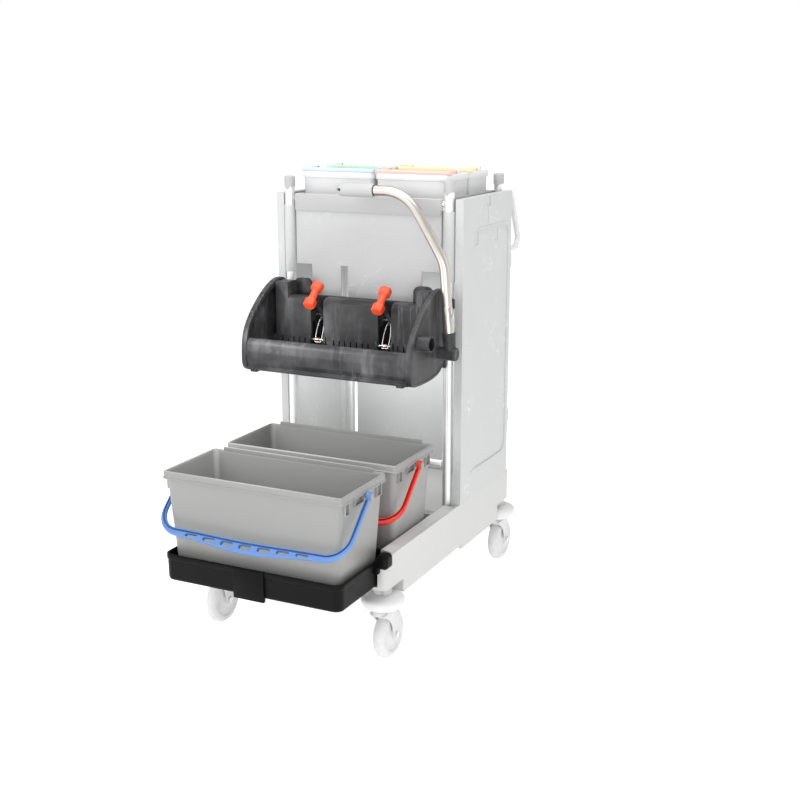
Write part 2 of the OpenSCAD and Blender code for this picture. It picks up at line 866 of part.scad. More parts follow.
// Swivel fork of a castor: stem, crown, two curved legs
module castor_fork(sx, y) {
  leg_t = 4;
  leg_in = wheel_w / 2 + 2;
  crown_d = 54;
  eye_r = 13;
  axle_z = wheel_d / 2;
  leg = [
    [-24, crown_z + over], [26, crown_z + over], [castor_trail + eye_r, axle_z + 26],
    [castor_trail + eye_r, axle_z], [castor_trail - eye_r, axle_z], [castor_trail - eye_r - 14, axle_z + 34]
  ];
  color([0.86, 0.86, 0.86]) from_posts() translate([sx * castor_x, y, 0]) difference() {
    union() {
      translate([0, 0, crown_z]) cylinder(d = crown_d, h = crown_t);
      translate([0, 0, crown_z + crown_t - over]) cylinder(d = 40, h = collar_h + over);
      translate([0, 0, crown_z]) cylinder(d = stem_d, h = stem_top - crown_z);
      for (side = [0, 1]) mirror([side, 0, 0]) {
        side_profile(leg_in, leg_in + leg_t) {
          polygon(leg);
          translate([castor_trail, axle_z]) circle(eye_r);
        }
      }
    }
    bar_x(-wheel_w, wheel_w, castor_trail, axle_z, axle_d + 2 * play);
  }
}

// Castor wheel: rounded tread, dished sides, hub
module castor_wheel(sx, y) {
  tread_r = 9;
  dish = 5;
  hub_d = 30;
  rim_d = wheel_d - 34;
  hub_half = wheel_w / 2 + 2 - gap;
  color([0.93, 0.93, 0.93]) from_posts()
    translate([sx * castor_x, y + castor_trail, wheel_d / 2]) rotate([0, 90, 0]) difference() {
      union() {
        rotate_extrude() {
          translate([0, -wheel_w / 2]) square([wheel_d / 2 - tread_r, wheel_w]);
          translate([0, -wheel_w / 2 + tread_r]) square([wheel_d / 2, wheel_w - 2 * tread_r]);
          for (h = [-1, 1])
            translate([wheel_d / 2 - tread_r, h * (wheel_w / 2 - tread_r)]) circle(tread_r);
        }
        translate([0, 0, -hub_half]) cylinder(d = hub_d, h = 2 * hub_half);
      }
      for (h = [-1, 1])
        translate([0, 0, h * (wheel_w / 2 - dish / 2 + over / 2)]) difference() {
          cylinder(d = rim_d, h = dish + over, center = true);
          cylinder(d = hub_d, h = dish + 3 * over, center = true);
        }
      cylinder(d = axle_d + 2 * play, h = 2 * wheel_w, center = true);
    }
}

// Axle bolt with a head and a nut outside the fork legs
module castor_axle(sx, y) {
  face = wheel_w / 2 + 6;
  head_h = 5;
  color(steel) from_posts() translate([sx * castor_x, y + castor_trail, wheel_d / 2]) rotate([0, 90, 0]) {
    cylinder(d = axle_d, h = 2 * face, center = true);
    for (h = [-1, 1])
      translate([0, 0, h * (face + head_h / 2)]) cylinder(d = axle_d + 8, h = head_h, center = true);
  }
}

// Tapered tub: flat walls drawn in towards the bottom, a cone at each corner
module tub(w, l, r, taper, h) {
  cone_r = r + 2 * play;
  rotate([90, 0, 0]) linear_extrude(l - 2 * r, center = true)
    polygon([[-w / 2 + taper, 0], [w / 2 - taper, 0], [w / 2, h], [-w / 2, h]]);
  rotate([90, 0, 90]) linear_extrude(w - 2 * r, center = true)
    polygon([[-l / 2 + taper, 0], [l / 2 - taper, 0], [l / 2, h], [-l / 2, h]]);
  for (sx = [-1, 1], sy = [-1, 1])
    translate([sx * (w / 2 - r), sy * (l / 2 - r), 0])
      cylinder(r1 = max(cone_r - taper, over), r2 = cone_r, h = h);
}

// Mop bucket: tapered tub, rolled rim, two bail pivots
module bucket(y, z) {
  w1 = bucket_w - 2 * rim_lip;
  l1 = bucket_l - 2 * rim_lip;
  wall = bucket_wall;
  lip_end = bucket_w / 2 - lip_inset;
  pivot_z = bucket_h - bail_pivot_drop;
  pivot_end = bail_in + bail_arm + gap;
  color(bucket_grey) from_posts() translate([0, -y, z]) difference() {
    union() {
      tub(w1, l1, bucket_r, bucket_taper, bucket_h - over);
      translate([0, 0, bucket_h - rim_h])
        linear_extrude(rim_h) slab(bucket_w, bucket_l, rim_r);
      span([-lip_end, l1 / 2 - wall, bucket_h - rim_h], [lip_end, l1 / 2 + over, bucket_h + lip_h]);
      for (side = [0, 1]) mirror([side, 0, 0]) {
        bar_x(w1 / 2 - wall + over, pivot_end, 0, pivot_z, bail_pin_d);
        bar_x(pivot_end, pivot_end + 3, 0, pivot_z, bail_pin_d + 7);
      }
    }
    translate([0, 0, wall]) tub(w1 - 2 * wall, l1 - 2 * wall, bucket_r - wall, bucket_taper, bucket_h);
  }
}

// Bail of a bucket: flat bar with finger holes, two arms and two eyes, swung down at the front
module bail(y, z) {
  out = bail_in + bail_arm;
  corner = 62;
  eye_d = bail_pin_d + 13;
  color(y == front_bucket_y ? [0.38, 0.56, 0.86] : [0.86, 0.22, 0.17]) from_posts()
    translate([0, -y, z + bucket_h - bail_pivot_drop]) rotate([bail_tilt, 0, 0]) difference() {
      union() {
        translate([0, 0, -bail_t / 2]) linear_extrude(bail_t) difference() {
          slab(2 * out, 2 * bail_reach, corner);
          slab(2 * bail_in, 2 * (bail_reach - bail_w), corner - bail_w + 4);
          translate([0, bail_reach / 2]) square([3 * out, bail_reach], center = true);
        }
        for (side = [0, 1]) mirror([side, 0, 0]) bar_x(bail_in, out, 0, 0, eye_d);
      }
      bar_x(-out - over, out + over, 0, 0, bail_pin_d + 2 * play);
      for (i = [-3 : 3])
        translate([i * finger_pitch, -bail_reach + bail_w / 2, -bail_t])
          linear_extrude(2 * bail_t) slab(finger_hole[0], finger_hole[1], finger_hole[1] / 2 - 0.1);
    }
}

// Small caddy box with a rolled rim and two lugs for its handle
module caddy(sx, y) {
  inset = 4;
  rim = 16;
  wall = caddy_wall;
  color([0.88, 0.88, 0.89]) from_posts() translate([sx * caddy_x, y, caddy_z]) difference() {
    union() {
      linear_extrude(caddy_h) slab(caddy_w - 2 * inset, caddy_l - 2 * inset, 10);
      translate([0, 0, caddy_h - rim]) linear_extrude(rim) slab(caddy_w, caddy_l, 13);
      for (side = [0, 1]) mirror([side, 0, 0])
        span([lug_x, -7, caddy_h - over], [lug_x + lug_t, 7, caddy_h + gap + handle_h + 2]);
    }
    translate([0, 0, wall]) linear_extrude(caddy_h)
      slab(caddy_w - 2 * (inset + wall), caddy_l - 2 * (inset + wall), 8);
    bar_x(-lug_x - 5, lug_x + 5, 0, handle_pivot_z - caddy_z, handle_pin_d + 2 * play);
  }
}

// Coloured handle of a caddy, folded down on the front of its rim
module caddy_handle(sx, y, tint) {
  front = -caddy_l / 2;
  eye_d = handle_h;
  bar_w = 12;
  color(tint) from_posts() translate([sx * caddy_x, y, handle_pivot_z]) {
    span([-handle_out, front, -handle_h / 2], [handle_out, front + bar_w, handle_h / 2]);
    for (side = [0, 1]) mirror([side, 0, 0]) {
      span([handle_out - handle_arm, front + bar_w - over, -handle_h / 2], [handle_out, 0, handle_h / 2]);
      bar_x(handle_out - handle_arm, handle_out, 0, 0, eye_d);
      bar_x(handle_out - over, handle_out + gap + 4.5, 0, 0, handle_pin_d);
    }
  }
}

// Shaft of the press with two cam arms and their rollers
module press_shaft() {
  arm_t = 10;
  arm_front = -3;
  arm_back = 5;
  roller_over = 3;
  hub_wall = 4;
  left_set = 1;
  right_set = 2;
  color(steel) from_posts() {
    bar_x(-press_w / 2 + left_set, elbow_end - right_set, shaft_y, shaft_z, shaft_d);
    for (sx = [-1, 1]) translate([sx * cam_x, shaft_y, shaft_z]) rotate([-cam_lag, 0, 0]) {
      span([-arm_t / 2, arm_front, 0], [arm_t / 2, arm_back, cam_arm]);
      bar_x(-arm_t / 2 - roller_over, arm_t / 2 + roller_over, 0, cam_arm, cam_roller_d);
      bar_x(-arm_t / 2, arm_t / 2, 0, 0, shaft_d + 2 * hub_wall);
    }
  }
}

// Elbow that joins the lever to the shaft
module lever_elbow() {
  color(black_plastic) from_posts() translate([0, shaft_y, shaft_z]) difference() {
    union() {
      bar_x(press_w / 2 + gap, elbow_end, 0, 0, elbow_d - 1);
      translate([lever_x, 0, 0]) {
        sphere(d = elbow_d + 2 * play);
        rotate([0, -lever_lean, 0]) cylinder(d = elbow_d, h = elbow_h);
      }
    }
    bar_x(0, elbow_end - 2 + play, 0, 0, shaft_d + 2 * play);
    translate([lever_x, 0, 0]) rotate([0, -lever_lean, 0]) {
      translate([0, 0, 14]) cylinder(d = lever_d + 2 * play, h = elbow_h);
      bar_y(-elbow_d, 0, 0, elbow_h - 14, button_d + 2 * play);
    }
  }
}

// Bend of the lever, from the end of a run, with what follows it
module lever_bend(turn) {
  translate([-lever_bend_r, 0, 0]) {
    rotate([90, 0, 0]) rotate_extrude(angle = turn)
      translate([lever_bend_r, 0]) circle(d = lever_d + 2 * play);
    rotate([0, -turn, 0]) translate([lever_bend_r, 0, 0]) children();
  }
}

// Lever tube: leaning lower run, knee, slope, upper bend, level run into the grip
button_d = 7;
grip_nose = 22;

module lever_tube() {
  bore = lever_d - 2 * tube_wall;
  low = 14;
  tube_end = grip_start - lever_x - grip_l + grip_nose;
  color(warm_steel) from_posts() translate([lever_x, shaft_y, shaft_z]) difference() {
    union() {
      rotate([0, -lever_lean, 0]) {
        translate([0, 0, low]) cylinder(d = lever_d, h = lever_run - low);
        translate([0, 0, lever_run]) lever_bend(knee_turn) {
          cylinder(d = lever_d, h = slope_run);
          translate([0, 0, slope_run]) lever_bend(bend_turn);
        }
      }
      bar_x(tube_end, grip_start - lever_x + lever_level, 0, lever_rise, lever_d);
    }
    rotate([0, -lever_lean, 0]) {
      translate([0, 0, low - over]) cylinder(d = bore, h = lever_run - low);
      bar_y(-lever_d, 0, 0, elbow_h - 14, button_d + 4 * play);
    }
    bar_x(tube_end - over, grip_start - lever_x + lever_level - over, 0, lever_rise, bore);
  }
}

module lever_grip() {
  tip = grip_start - grip_l;
  nose = grip_d / 2;
  color([0.76, 0.76, 0.75]) from_posts() translate([0, shaft_y, lever_top_z]) difference() {
    union() {
      bar_x(tip + nose, grip_start, 0, 0, grip_d);
      translate([tip + nose, 0, 0]) sphere(d = grip_d);
    }
    bar_x(tip + grip_nose, grip_start + over, 0, 0, lever_d + 2 * play);
    bar_y(-grip_d, grip_d, tip + 11, 0, grip_hole_d);
  }
}

// Spring button that locks the lever in its elbow
module lever_button() {
  proud = 2.5;
  length = 9;
  color(steel) from_posts() translate([lever_x, shaft_y, shaft_z]) rotate([0, -lever_lean, 0])
    bar_y(-elbow_d / 2 - proud, -elbow_d / 2 - proud + length, 0, elbow_h - 14, button_d);
}

// Moving plate of the press: ears, latch slots, drain slots, cam lugs and latch lugs
module press_plate() {
  slot_low = catch_z - 16;
  shelf = 28;
  shelf_t = 12;
  drain_w = 4;
  drain_h = 14;
  drain_rise = 48;
  drain_pitch = 16.6;
  side_row = ear_out - 52;
  lug_t = latch_lug_t;
  lug_in = latch_slot / 2;
  lug_y = latch_y + 9;
  cam_lug_end = shaft_y + cam_arm * sin(cam_lag) - cam_roller_d / 2 - cam_gap;
  cam_lug_z = shaft_z + cam_arm * cos(cam_lag);
  color(black_plastic) from_posts() difference() {
    union() {
      span([-ear_out, plate_front, plate_bottom], [ear_out, plate_back, plate_top]);
      span([-ear_in, plate_back - over, plate_top - shelf_t], [ear_in, plate_back + shelf, plate_top]);
      for (sx = [0, 1]) mirror([sx, 0, 0])
        span([ear_in, plate_front, plate_bottom], [ear_out, plate_back, press_top - 6]);
      for (sx = [-1, 1]) {
        span([sx * cam_x - 10, plate_back - over, cam_lug_z - cam_roller_d / 2 + over],
             [sx * cam_x + 10, cam_lug_end, cam_lug_z + 12]);
        for (side = [0, 1]) translate([sx * latch_x, 0, 0]) mirror([side, 0, 0])
          span([lug_in, plate_back - over, latch_z - 14], [lug_in + lug_t, lug_y, latch_z + 12]);
        for (side = [0, 1]) translate([sx * latch_x, 0, 0]) mirror([side, 0, 0])
          span([lug_in, plate_front - catch_lug, catch_z - 10],
               [lug_in + lug_t, plate_back + catch_lug, catch_z + 10]);
      }
    }
    for (sx = [-1, 1]) {
      span([sx * latch_x - lug_in, plate_front - over, slot_low],
           [sx * latch_x + lug_in, plate_back + shelf + over, plate_top + over]);
      bar_x(sx * latch_x - lug_in - lug_t - over, sx * latch_x + lug_in + lug_t + over, latch_y, latch_z,
            latch_pin_d + 2 * play);
      bar_x(sx * latch_x - lug_in - lug_t + 1, sx * latch_x + lug_in + lug_t - 1, catch_y, catch_z,
            catch_pin_d + 2 * play);
    }
    for (row = [[-side_row, 2], [0, 3], [side_row, 2]], i = [-row[1] : row[1]])
      translate([row[0] + i * drain_pitch, 0, 0])
        span([-drain_w / 2, plate_front - over, plate_bottom + drain_rise],
             [drain_w / 2, plate_back + over, plate_bottom + drain_rise + drain_h]);
  }
}

// Pivot pins of the latches, and the catch rollers at the foot of their slots
module latch_pins() {
  half = latch_slot / 2 + latch_lug_t;
  catch_set = 2;
  roller_w = 10;
  color([0.80, 0.55, 0.42]) from_posts() for (sx = [-1, 1]) {
    bar_x(sx * latch_x - half, sx * latch_x + half, latch_y, latch_z, latch_pin_d);
    bar_x(sx * latch_x - half + catch_set, sx * latch_x + half - catch_set, catch_y, catch_z, catch_pin_d);
    bar_x(sx * latch_x - roller_w / 2, sx * latch_x + roller_w / 2, catch_y, catch_z, roller_d);
  }
}

// Latch arm from its pin to the knob, with the eye that carries the wire
module latch_arm(sx) {
  width = 14;
  thick = 11;
  web_t = 7;
  eye_d = 17;
  reach = norm(knob_reach);
  lean = atan2(-knob_reach[0], knob_reach[1]);
  color(black_plastic) from_posts() translate([sx * latch_x, latch_y, latch_z]) difference() {
    union() {
      bar_x(-width / 2, width / 2, 0, 0, eye_d);
      side_profile(-web_t / 2, web_t / 2) {
        circle(d = eye_d + 2);
        translate(wire_pivot) circle(d = wire_d + 7);
        rotate(atan2(wire_pivot[1], wire_pivot[0])) translate([0, -4]) square([norm(wire_pivot), 8]);
      }
      rotate([lean, 0, 0]) {
        span([-width / 2, -thick / 2, 0], [width / 2, thick / 2, reach - 14]);
        translate([0, 0, reach - 20]) cylinder(d = 10, h = 28);
      }
    }
    bar_x(-width, width, 0, 0, latch_pin_d + 2 * play);
    bar_x(-width, width, wire_pivot[0], wire_pivot[1], wire_d + 2 * play);
  }
}

// Knob across the end of a latch arm: two six-sided ends and a round waist
module latch_knob(sx) {
  reach = norm(knob_reach);
  lean = atan2(-knob_reach[0], knob_reach[1]);
  end_l = 22;
  waist_d = 18;
  color(knob_red) from_posts() translate([sx * latch_x, latch_y, latch_z]) rotate([lean, 0, 0])
    translate([0, 0, reach]) difference() {
      rotate([90, 0, 0]) {
        cylinder(d = waist_d, h = knob_l - 2, center = true);
        for (side = [-1, 1]) translate([0, 0, side * (knob_l - end_l) / 2])
          cylinder(d = knob_af / cos(30), h = end_l, center = true, $fn = 6);
      }
      translate([0, 0, -knob_l]) cylinder(d = 10 + 2 * play, h = knob_l + 8 + play);
    }
}

// Bent wire from the latch arm to the catch roller
module latch_wire(sx) {
  top = [latch_y + wire_pivot[0], latch_z + wire_pivot[1]];
  hook_r = roller_d / 2 + wire_d / 2 + gap;
  foot = [catch_y + hook_r * sin(hook_turn), catch_z - hook_r * cos(hook_turn)];
  leg = foot - top;
  color(steel) from_posts() translate([sx * latch_x, 0, 0]) {
    for (end = [top, foot])
      bar_x(-wire_gauge - wire_d / 2, wire_gauge + wire_d / 2, end[0], end[1], wire_d);
    for (side = [-1, 1]) translate([side * wire_gauge, top[0], top[1]])
      rotate([-90 + atan2(leg[1], leg[0]), 0, 0]) cylinder(d = wire_d - 4 * play, h = norm(leg));
  }
}

base();
castor_bumpers();
front_posts();
rear_posts();
post_caps();
post_sleeves();
cross_rails();
front_panel();
back_panel();
left_panel();
top_tray();
push_loops();
door_hinges();
front_tray();
tray_clips();
press_cheek_left();
press_cheek_right();
press_front_bar();
press_floor();
press_back();
press_bolts();
castor_fork(-1, castor_front_y);  // castor_fork_fl
castor_wheel(-1, castor_front_y);  // castor_wheel_fl
castor_axle(-1, castor_front_y);  // castor_axle_fl
castor_fork(1, castor_front_y);  // castor_fork_fr
castor_wheel(1, castor_front_y);  // castor_wheel_fr
castor_axle(1, castor_front_y);  // castor_axle_fr
castor_fork(-1, castor_rear_y);  // castor_fork_rl
castor_wheel(-1, castor_rear_y);  // castor_wheel_rl
castor_axle(-1, castor_rear_y);  // castor_axle_rl
castor_fork(1, castor_rear_y);  // castor_fork_rr
castor_wheel(1, castor_rear_y);  // castor_wheel_rr
castor_axle(1, castor_rear_y);  // castor_axle_rr
bucket(front_bucket_y, front_bucket_z);  // bucket_front
bail(front_bucket_y, front_bucket_z);  // bail_front
bucket(rear_bucket_y, rear_bucket_z);  // bucket_rear
bail(rear_bucket_y, rear_bucket_z);  // bail_rear
caddy(-1, caddy_front_row);  // caddy_fl
caddy_handle(-1, caddy_front_row, [0.55, 0.68, 0.90]);  // caddy_handle_fl
caddy(1, caddy_front_row);  // caddy_fr
caddy_handle(1, caddy_front_row, [0.93, 0.50, 0.44]);  // caddy_handle_fr
caddy(-1, caddy_rear_row);  // caddy_rl
caddy_handle(-1, caddy_rear_row, [0.45, 0.72, 0.50]);  // caddy_handle_rl
caddy(1, caddy_rear_row);  // caddy_rr
caddy_handle(1, caddy_rear_row, [0.97, 0.84, 0.42]);  // caddy_handle_rr
press_shaft();
lever_elbow();
lever_tube();
lever_grip();
lever_button();
press_plate();
latch_pins();
latch_arm(-1);  // latch_arm_left
latch_knob(-1);  // latch_knob_left
latch_wire(-1);  // latch_wire_left
latch_arm(1);  // latch_arm_right
latch_knob(1);  // latch_knob_right
latch_wire(1);  // latch_wire_right
side_door();
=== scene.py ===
"""Looks of the double mop bucket trolley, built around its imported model.

Lengths are millimetres, laid out from the front posts: x = 0 half way between them, y = 0 at their
centres, z = 0 on the floor. settle() turns a finished mesh into metres in the shared frame.
"""
import json
from math import atan2, cos, hypot, pi, radians, sin, tan

import bmesh
import bpy
from mathutils import Matrix, Vector

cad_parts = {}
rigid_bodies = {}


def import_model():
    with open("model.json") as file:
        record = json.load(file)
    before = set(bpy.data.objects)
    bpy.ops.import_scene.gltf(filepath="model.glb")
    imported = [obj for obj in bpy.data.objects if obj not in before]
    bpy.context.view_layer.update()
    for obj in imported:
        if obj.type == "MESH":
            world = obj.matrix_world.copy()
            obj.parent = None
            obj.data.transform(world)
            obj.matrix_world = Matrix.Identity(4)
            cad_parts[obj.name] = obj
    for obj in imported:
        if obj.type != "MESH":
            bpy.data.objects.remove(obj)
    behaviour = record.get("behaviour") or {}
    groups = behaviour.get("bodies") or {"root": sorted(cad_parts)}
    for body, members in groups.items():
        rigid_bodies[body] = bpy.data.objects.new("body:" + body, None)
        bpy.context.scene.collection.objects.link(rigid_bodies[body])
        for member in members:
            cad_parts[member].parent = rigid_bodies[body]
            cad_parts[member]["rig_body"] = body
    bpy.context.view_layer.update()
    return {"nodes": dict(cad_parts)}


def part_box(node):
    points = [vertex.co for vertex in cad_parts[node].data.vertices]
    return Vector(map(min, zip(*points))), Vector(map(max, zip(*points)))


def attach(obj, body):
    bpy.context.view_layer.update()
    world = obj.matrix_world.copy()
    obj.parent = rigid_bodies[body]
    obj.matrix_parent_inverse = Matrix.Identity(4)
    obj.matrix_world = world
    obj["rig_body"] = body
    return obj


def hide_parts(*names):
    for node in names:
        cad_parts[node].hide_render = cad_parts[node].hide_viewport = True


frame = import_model()

# Frame and units
MM = 0.001
post_low, post_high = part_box("front_posts")
TO_FRAME = Matrix.Translation((0, (post_low.y + post_high.y) / 2, 0)) @ Matrix.Scale(MM, 4)
TO_DRAWING = TO_FRAME.inverted()
CORNERS = ("fl", "fr", "rl", "rr")
SIDES = {"left": -1, "right": 1}
BOTH = tuple(SIDES.values())


def box_of(node):
    """Lowest and highest corner of a node on the drawing."""
    low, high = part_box(node)
    return TO_DRAWING @ low, TO_DRAWING @ high


def body_of(node):
    """The body that a node rides on."""
    return frame["nodes"][node]["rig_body"]


def corner_places(node, inset):
    """Four places at the foot of a node, drawn in from its corners."""
    low, high = box_of(node)
    xs, ys = (low.x + inset, high.x - inset), (low.y + inset, high.y - inset)
    return [(x, y, low.z) for x in xs for y in ys]


def shift(x, y, z):
    """Movement by a vector."""
    return Matrix.Translation((x, y, z))


def spin(degrees, axis):
    """Turn about an axis."""
    return Matrix.Rotation(radians(degrees), 4, axis)


def along_x(x, y, z):
    """Local Z laid along +X from a point."""
    return shift(x, y, z) @ spin(90, "Y")


def along_y(x, y, z):
    """Local Z laid along +Y from a point."""
    return shift(x, y, z) @ spin(-90, "X")


# Node trees
class Wire:
    """An output of a node. Arithmetic on it adds Math nodes."""

    def __init__(self, bench, socket):
        self.bench = bench
        self.socket = socket

    def maths(self, operation, *operands):
        return self.bench.node("ShaderNodeMath", dict(enumerate(operands)), operation=operation)

    def __add__(self, other):
        return self.maths("ADD", self, other)

    def __sub__(self, other):
        return self.maths("SUBTRACT", self, other)

    def __rsub__(self, other):
        return self.maths("SUBTRACT", other, self)

    def __mul__(self, other):
        return self.maths("MULTIPLY", self, other)

    def __abs__(self):
        return self.maths("ABSOLUTE", self)

    __radd__ = __add__
    __rmul__ = __mul__


class Bench:
    """Adds nodes to one tree."""

    def __init__(self, tree):
        self.tree = tree

    def node(self, kind, sockets=None, out=0, **settings):
        """A node with its settings, and its sockets' values or links."""
        made = self.tree.nodes.new(kind)
        for name, value in settings.items():
            setattr(made, name, value)
        for key, value in (sockets or {}).items():
            if isinstance(value, Wire):
                self.tree.links.new(value.socket, made.inputs[key])
            else:
                made.inputs[key].default_value = value
        return Wire(self, made.outputs[out]) if len(made.outputs) else made


def linear(*levels):
    """A display colour, 0 to 255, as linear light by the sRGB curve."""
    shares = [level / 255 for level in levels]
    curve = [s / 12.92 if s <= 0.04045 else ((s + 0.055) / 1.055) ** 2.4 for s in shares]
    return (*curve, 1.0)


def dimmed(colour, share):
    """A colour made darker or lighter."""
    return (*(min(c * share, 1.0) for c in colour[:3]), 1.0)


class Finish(Bench):
    """One procedural material, on Object coordinates in metres."""

    def __init__(self, name):
        self.material = bpy.data.materials.new(name)
        self.material.use_nodes = True
        self.material.node_tree.nodes.clear()
        super().__init__(self.material.node_tree)
        self.place = self.node("ShaderNodeTexCoord", out=3)

    def mapped(self, scale, turn=0.0):
        """Object coordinates scaled along the axes and turned about Y."""
        return self.node("ShaderNodeMapping", {
            "Vector": self.place, "Rotation": (0, radians(turn), 0), "Scale": scale})

    def noise(self, scale, detail=3, rough=0.55, place=None, distortion=0.0):
        """Cloudy noise with that many lumps in a metre."""
        return self.node("ShaderNodeTexNoise", {
            "Vector": place or self.place, "Scale": scale, "Detail": detail, "Roughness": rough,
            "Distortion": distortion})

    def band(self, value, low, high):
        """0 below low, 1 above high, smooth between them."""
        return self.node("ShaderNodeMapRange", {"Value": value, "From Min": low, "From Max": high},
                         interpolation_type="SMOOTHSTEP")

    def scratches(self, scale, width, place=None, distortion=1.0):
        """Thin wandering lines."""
        lumps = self.noise(scale, detail=2, rough=0.5, place=place, distortion=distortion)
        return 1 - self.band(abs(lumps - 0.5), 0.0, width)

    def tint(self, share, low, high):
        """A mix of two colours."""
        return self.node("ShaderNodeMix", {0: share, 6: low, 7: high}, out=2, data_type="RGBA")

    def finish(self, colour, rough, height, depth, strength=0.5, **constants):
        """The shader, with a bump from height, and constant sockets by name."""
        bump = self.node("ShaderNodeBump", {"Strength": strength, "Distance": depth, "Height": height})
        sockets = {"Base Color": colour, "Roughness": rough, "Normal": bump}
        sockets.update({name.replace("_", " "): value for name, value in constants.items()})
        shader = self.node("ShaderNodeBsdfPrincipled", sockets)
        self.node("ShaderNodeOutputMaterial", {"Surface": shader})
        return self.material


def moulded(name, colour, rough, scuffs=0.0, grain=0.00012, cloud=0.06, gloss=0.5):
    """Moulded plastic: faint clouds of tone, a fine grain, and scuffs in patches."""
    shop = Finish(name)
    clouds = shop.noise(5, detail=4, rough=0.6)
    tone = shop.tint(clouds, dimmed(colour, 1 - cloud), dimmed(colour, 1 + cloud))
    lines = shop.scratches(26, width=0.012) * shop.band(shop.noise(7, detail=2), 0.52, 0.68)
    rubs = shop.band(shop.noise(13, detail=6, rough=0.7, distortion=1.5), 0.58, 0.78)
    worn = lines * 0.8 + rubs * 0.5
    tone = shop.tint(worn * scuffs, tone, dimmed(colour, 1.45))
    grains = shop.noise(900, detail=2, rough=0.6)
    return shop.finish(tone, rough + 0.12 * (clouds - 0.5) + 0.1 * worn * scuffs, grains + 0.4 * worn,
                       depth=grain, strength=0.6, Specular_IOR_Level=gloss)


def press_black(name):
    """Dark press plastic: upright drag marks, slanted strokes and pale clouds."""
    shop = Finish(name)
    dark, worn_tone = linear(31, 31, 33), linear(150, 150, 152)
    clouds = shop.band(shop.noise(8, detail=4, rough=0.6), 0.36, 0.72)
    upright = shop.mapped((1, 1, 0.14))
    drags = shop.band(shop.noise(26, rough=0.6, place=upright), 0.46, 0.74)
    slanted = shop.mapped((1, 1, 0.12), turn=38)
    strokes = shop.scratches(70, width=0.07, place=slanted, distortion=0.3)
    strokes = strokes * shop.band(shop.noise(7, detail=2), 0.5, 0.64)
    worn = clouds * 0.14 + drags * clouds * 0.26 + strokes * 0.2
    tone = shop.tint(worn, dark, worn_tone)
    grains = shop.noise(700, rough=0.6)
    return shop.finish(tone, 0.4 + 0.2 * worn, grains + worn * 0.3, depth=0.0002, strength=0.6,
                       Specular_IOR_Level=0.32)


def brushed(name, colour, rough, along):
    """Drawn steel: fine lines along it and soft clouds of tone."""
    shop = Finish(name)
    streaks = shop.noise(420, rough=0.6, place=shop.mapped(along))
    clouds = shop.noise(11)
    tone = shop.tint(0.5 * streaks + 0.5 * clouds, dimmed(colour, 0.86), dimmed(colour, 1.1))
    return shop.finish(tone, rough + 0.16 * (streaks - 0.5) + 0.1 * (clouds - 0.5), streaks, depth=0.00005,
                       strength=0.3, Metallic=1.0)


def rubber(name, colour):
    """Pale castor tyre: matt, with patches of road dust."""
    shop = Finish(name)
    dust = shop.band(shop.noise(45, detail=5, rough=0.7), 0.45, 0.75)
    tone = shop.tint(dust, dimmed(colour, 1.03), dimmed(colour, 0.9))
    return shop.finish(tone, 0.5 + 0.2 * dust, shop.noise(500), depth=0.0002)


# Display colour, roughness, and what differs from plain moulded plastic
PLASTICS = {
    "base_plastic": ((194, 194, 193), 0.5, {"scuffs": 0.1}),
    "panel_plastic": ((190, 191, 191), 0.52, {"scuffs": 0.95}),
    "bumper_plastic": ((212, 212, 212), 0.42, {}),
    "cap_plastic": ((174, 174, 174), 0.45, {}),
    "tray_plastic": ((13, 13, 14), 0.42, {"scuffs": 0.5, "gloss": 0.09}),
    "bucket_plastic": ((142, 142, 140), 0.4, {"scuffs": 0.06, "cloud": 0.025}),
    "bail_blue": ((90, 129, 188), 0.38, {"cloud": 0.04}),
    "bail_red": ((208, 42, 24), 0.38, {"cloud": 0.04}),
    "knob_red": ((238, 82, 44), 0.45, {"cloud": 0.07, "scuffs": 0.1}),
    "caddy_plastic": ((220, 220, 221), 0.45, {}),
    "handle_blue": ((196, 212, 238), 0.45, {}),
    "handle_red": ((244, 194, 184), 0.45, {}),
    "handle_green": ((200, 230, 206), 0.45, {}),
    "handle_yellow": ((250, 232, 178), 0.45, {}),
    "grip_plastic": ((180, 180, 180), 0.5, {"grain": 0.0002}),
    "fork_steel": ((206, 206, 206), 0.4, {}),
}
# Linear colour, roughness, and how far the brushed lines are drawn out along each axis
STEELS = {
    "post_steel": ((0.9, 0.9, 0.9), 0.5, (1, 1, 0.03)),
    "lever_steel": ((0.62, 0.585, 0.545), 0.34, (1, 1, 0.05)),
    "bright_steel": ((0.74, 0.73, 0.72), 0.26, (1, 1, 1)),
    "copper_roller": ((0.93, 0.66, 0.55), 0.24, (0.1, 1, 1)),
}
FINISHES = {
    "press_plastic": press_black("press_plastic"),
    "wheel_rubber": rubber("wheel_rubber", linear(208, 208, 208)),
}
for slot, (levels, rough, more) in PLASTICS.items():
    FINISHES[slot] = moulded(slot, linear(*levels), rough, **more)
for slot, (colour, rough, along) in STEELS.items():
    FINISHES[slot] = brushed(slot, (*colour, 1.0), rough, along)

# Mesh tools
MERGE = 0.002
SLIVER = 0.01
FLAT = radians(0.6)
AXES = {"x": (2, 0, 1), "y": (0, 2, 1), "z": (0, 1, 2)}


def ring(half_x, half_y, r, z, mid=(0, 0), steps=7):
    """Rounded rectangle at one height."""
    points = []
    for sx, sy, start in ((1, 1, 0), (-1, 1, 90), (-1, -1, 180), (1, -1, 270)):
        for i in range(steps + 1):
            a = radians(start + 90 * i / steps)
            x = mid[0] + sx * (half_x - r) + r * cos(a)
            y = mid[1] + sy * (half_y - r) + r * sin(a)
            points.append(Vector((x, y, z)))
    return points


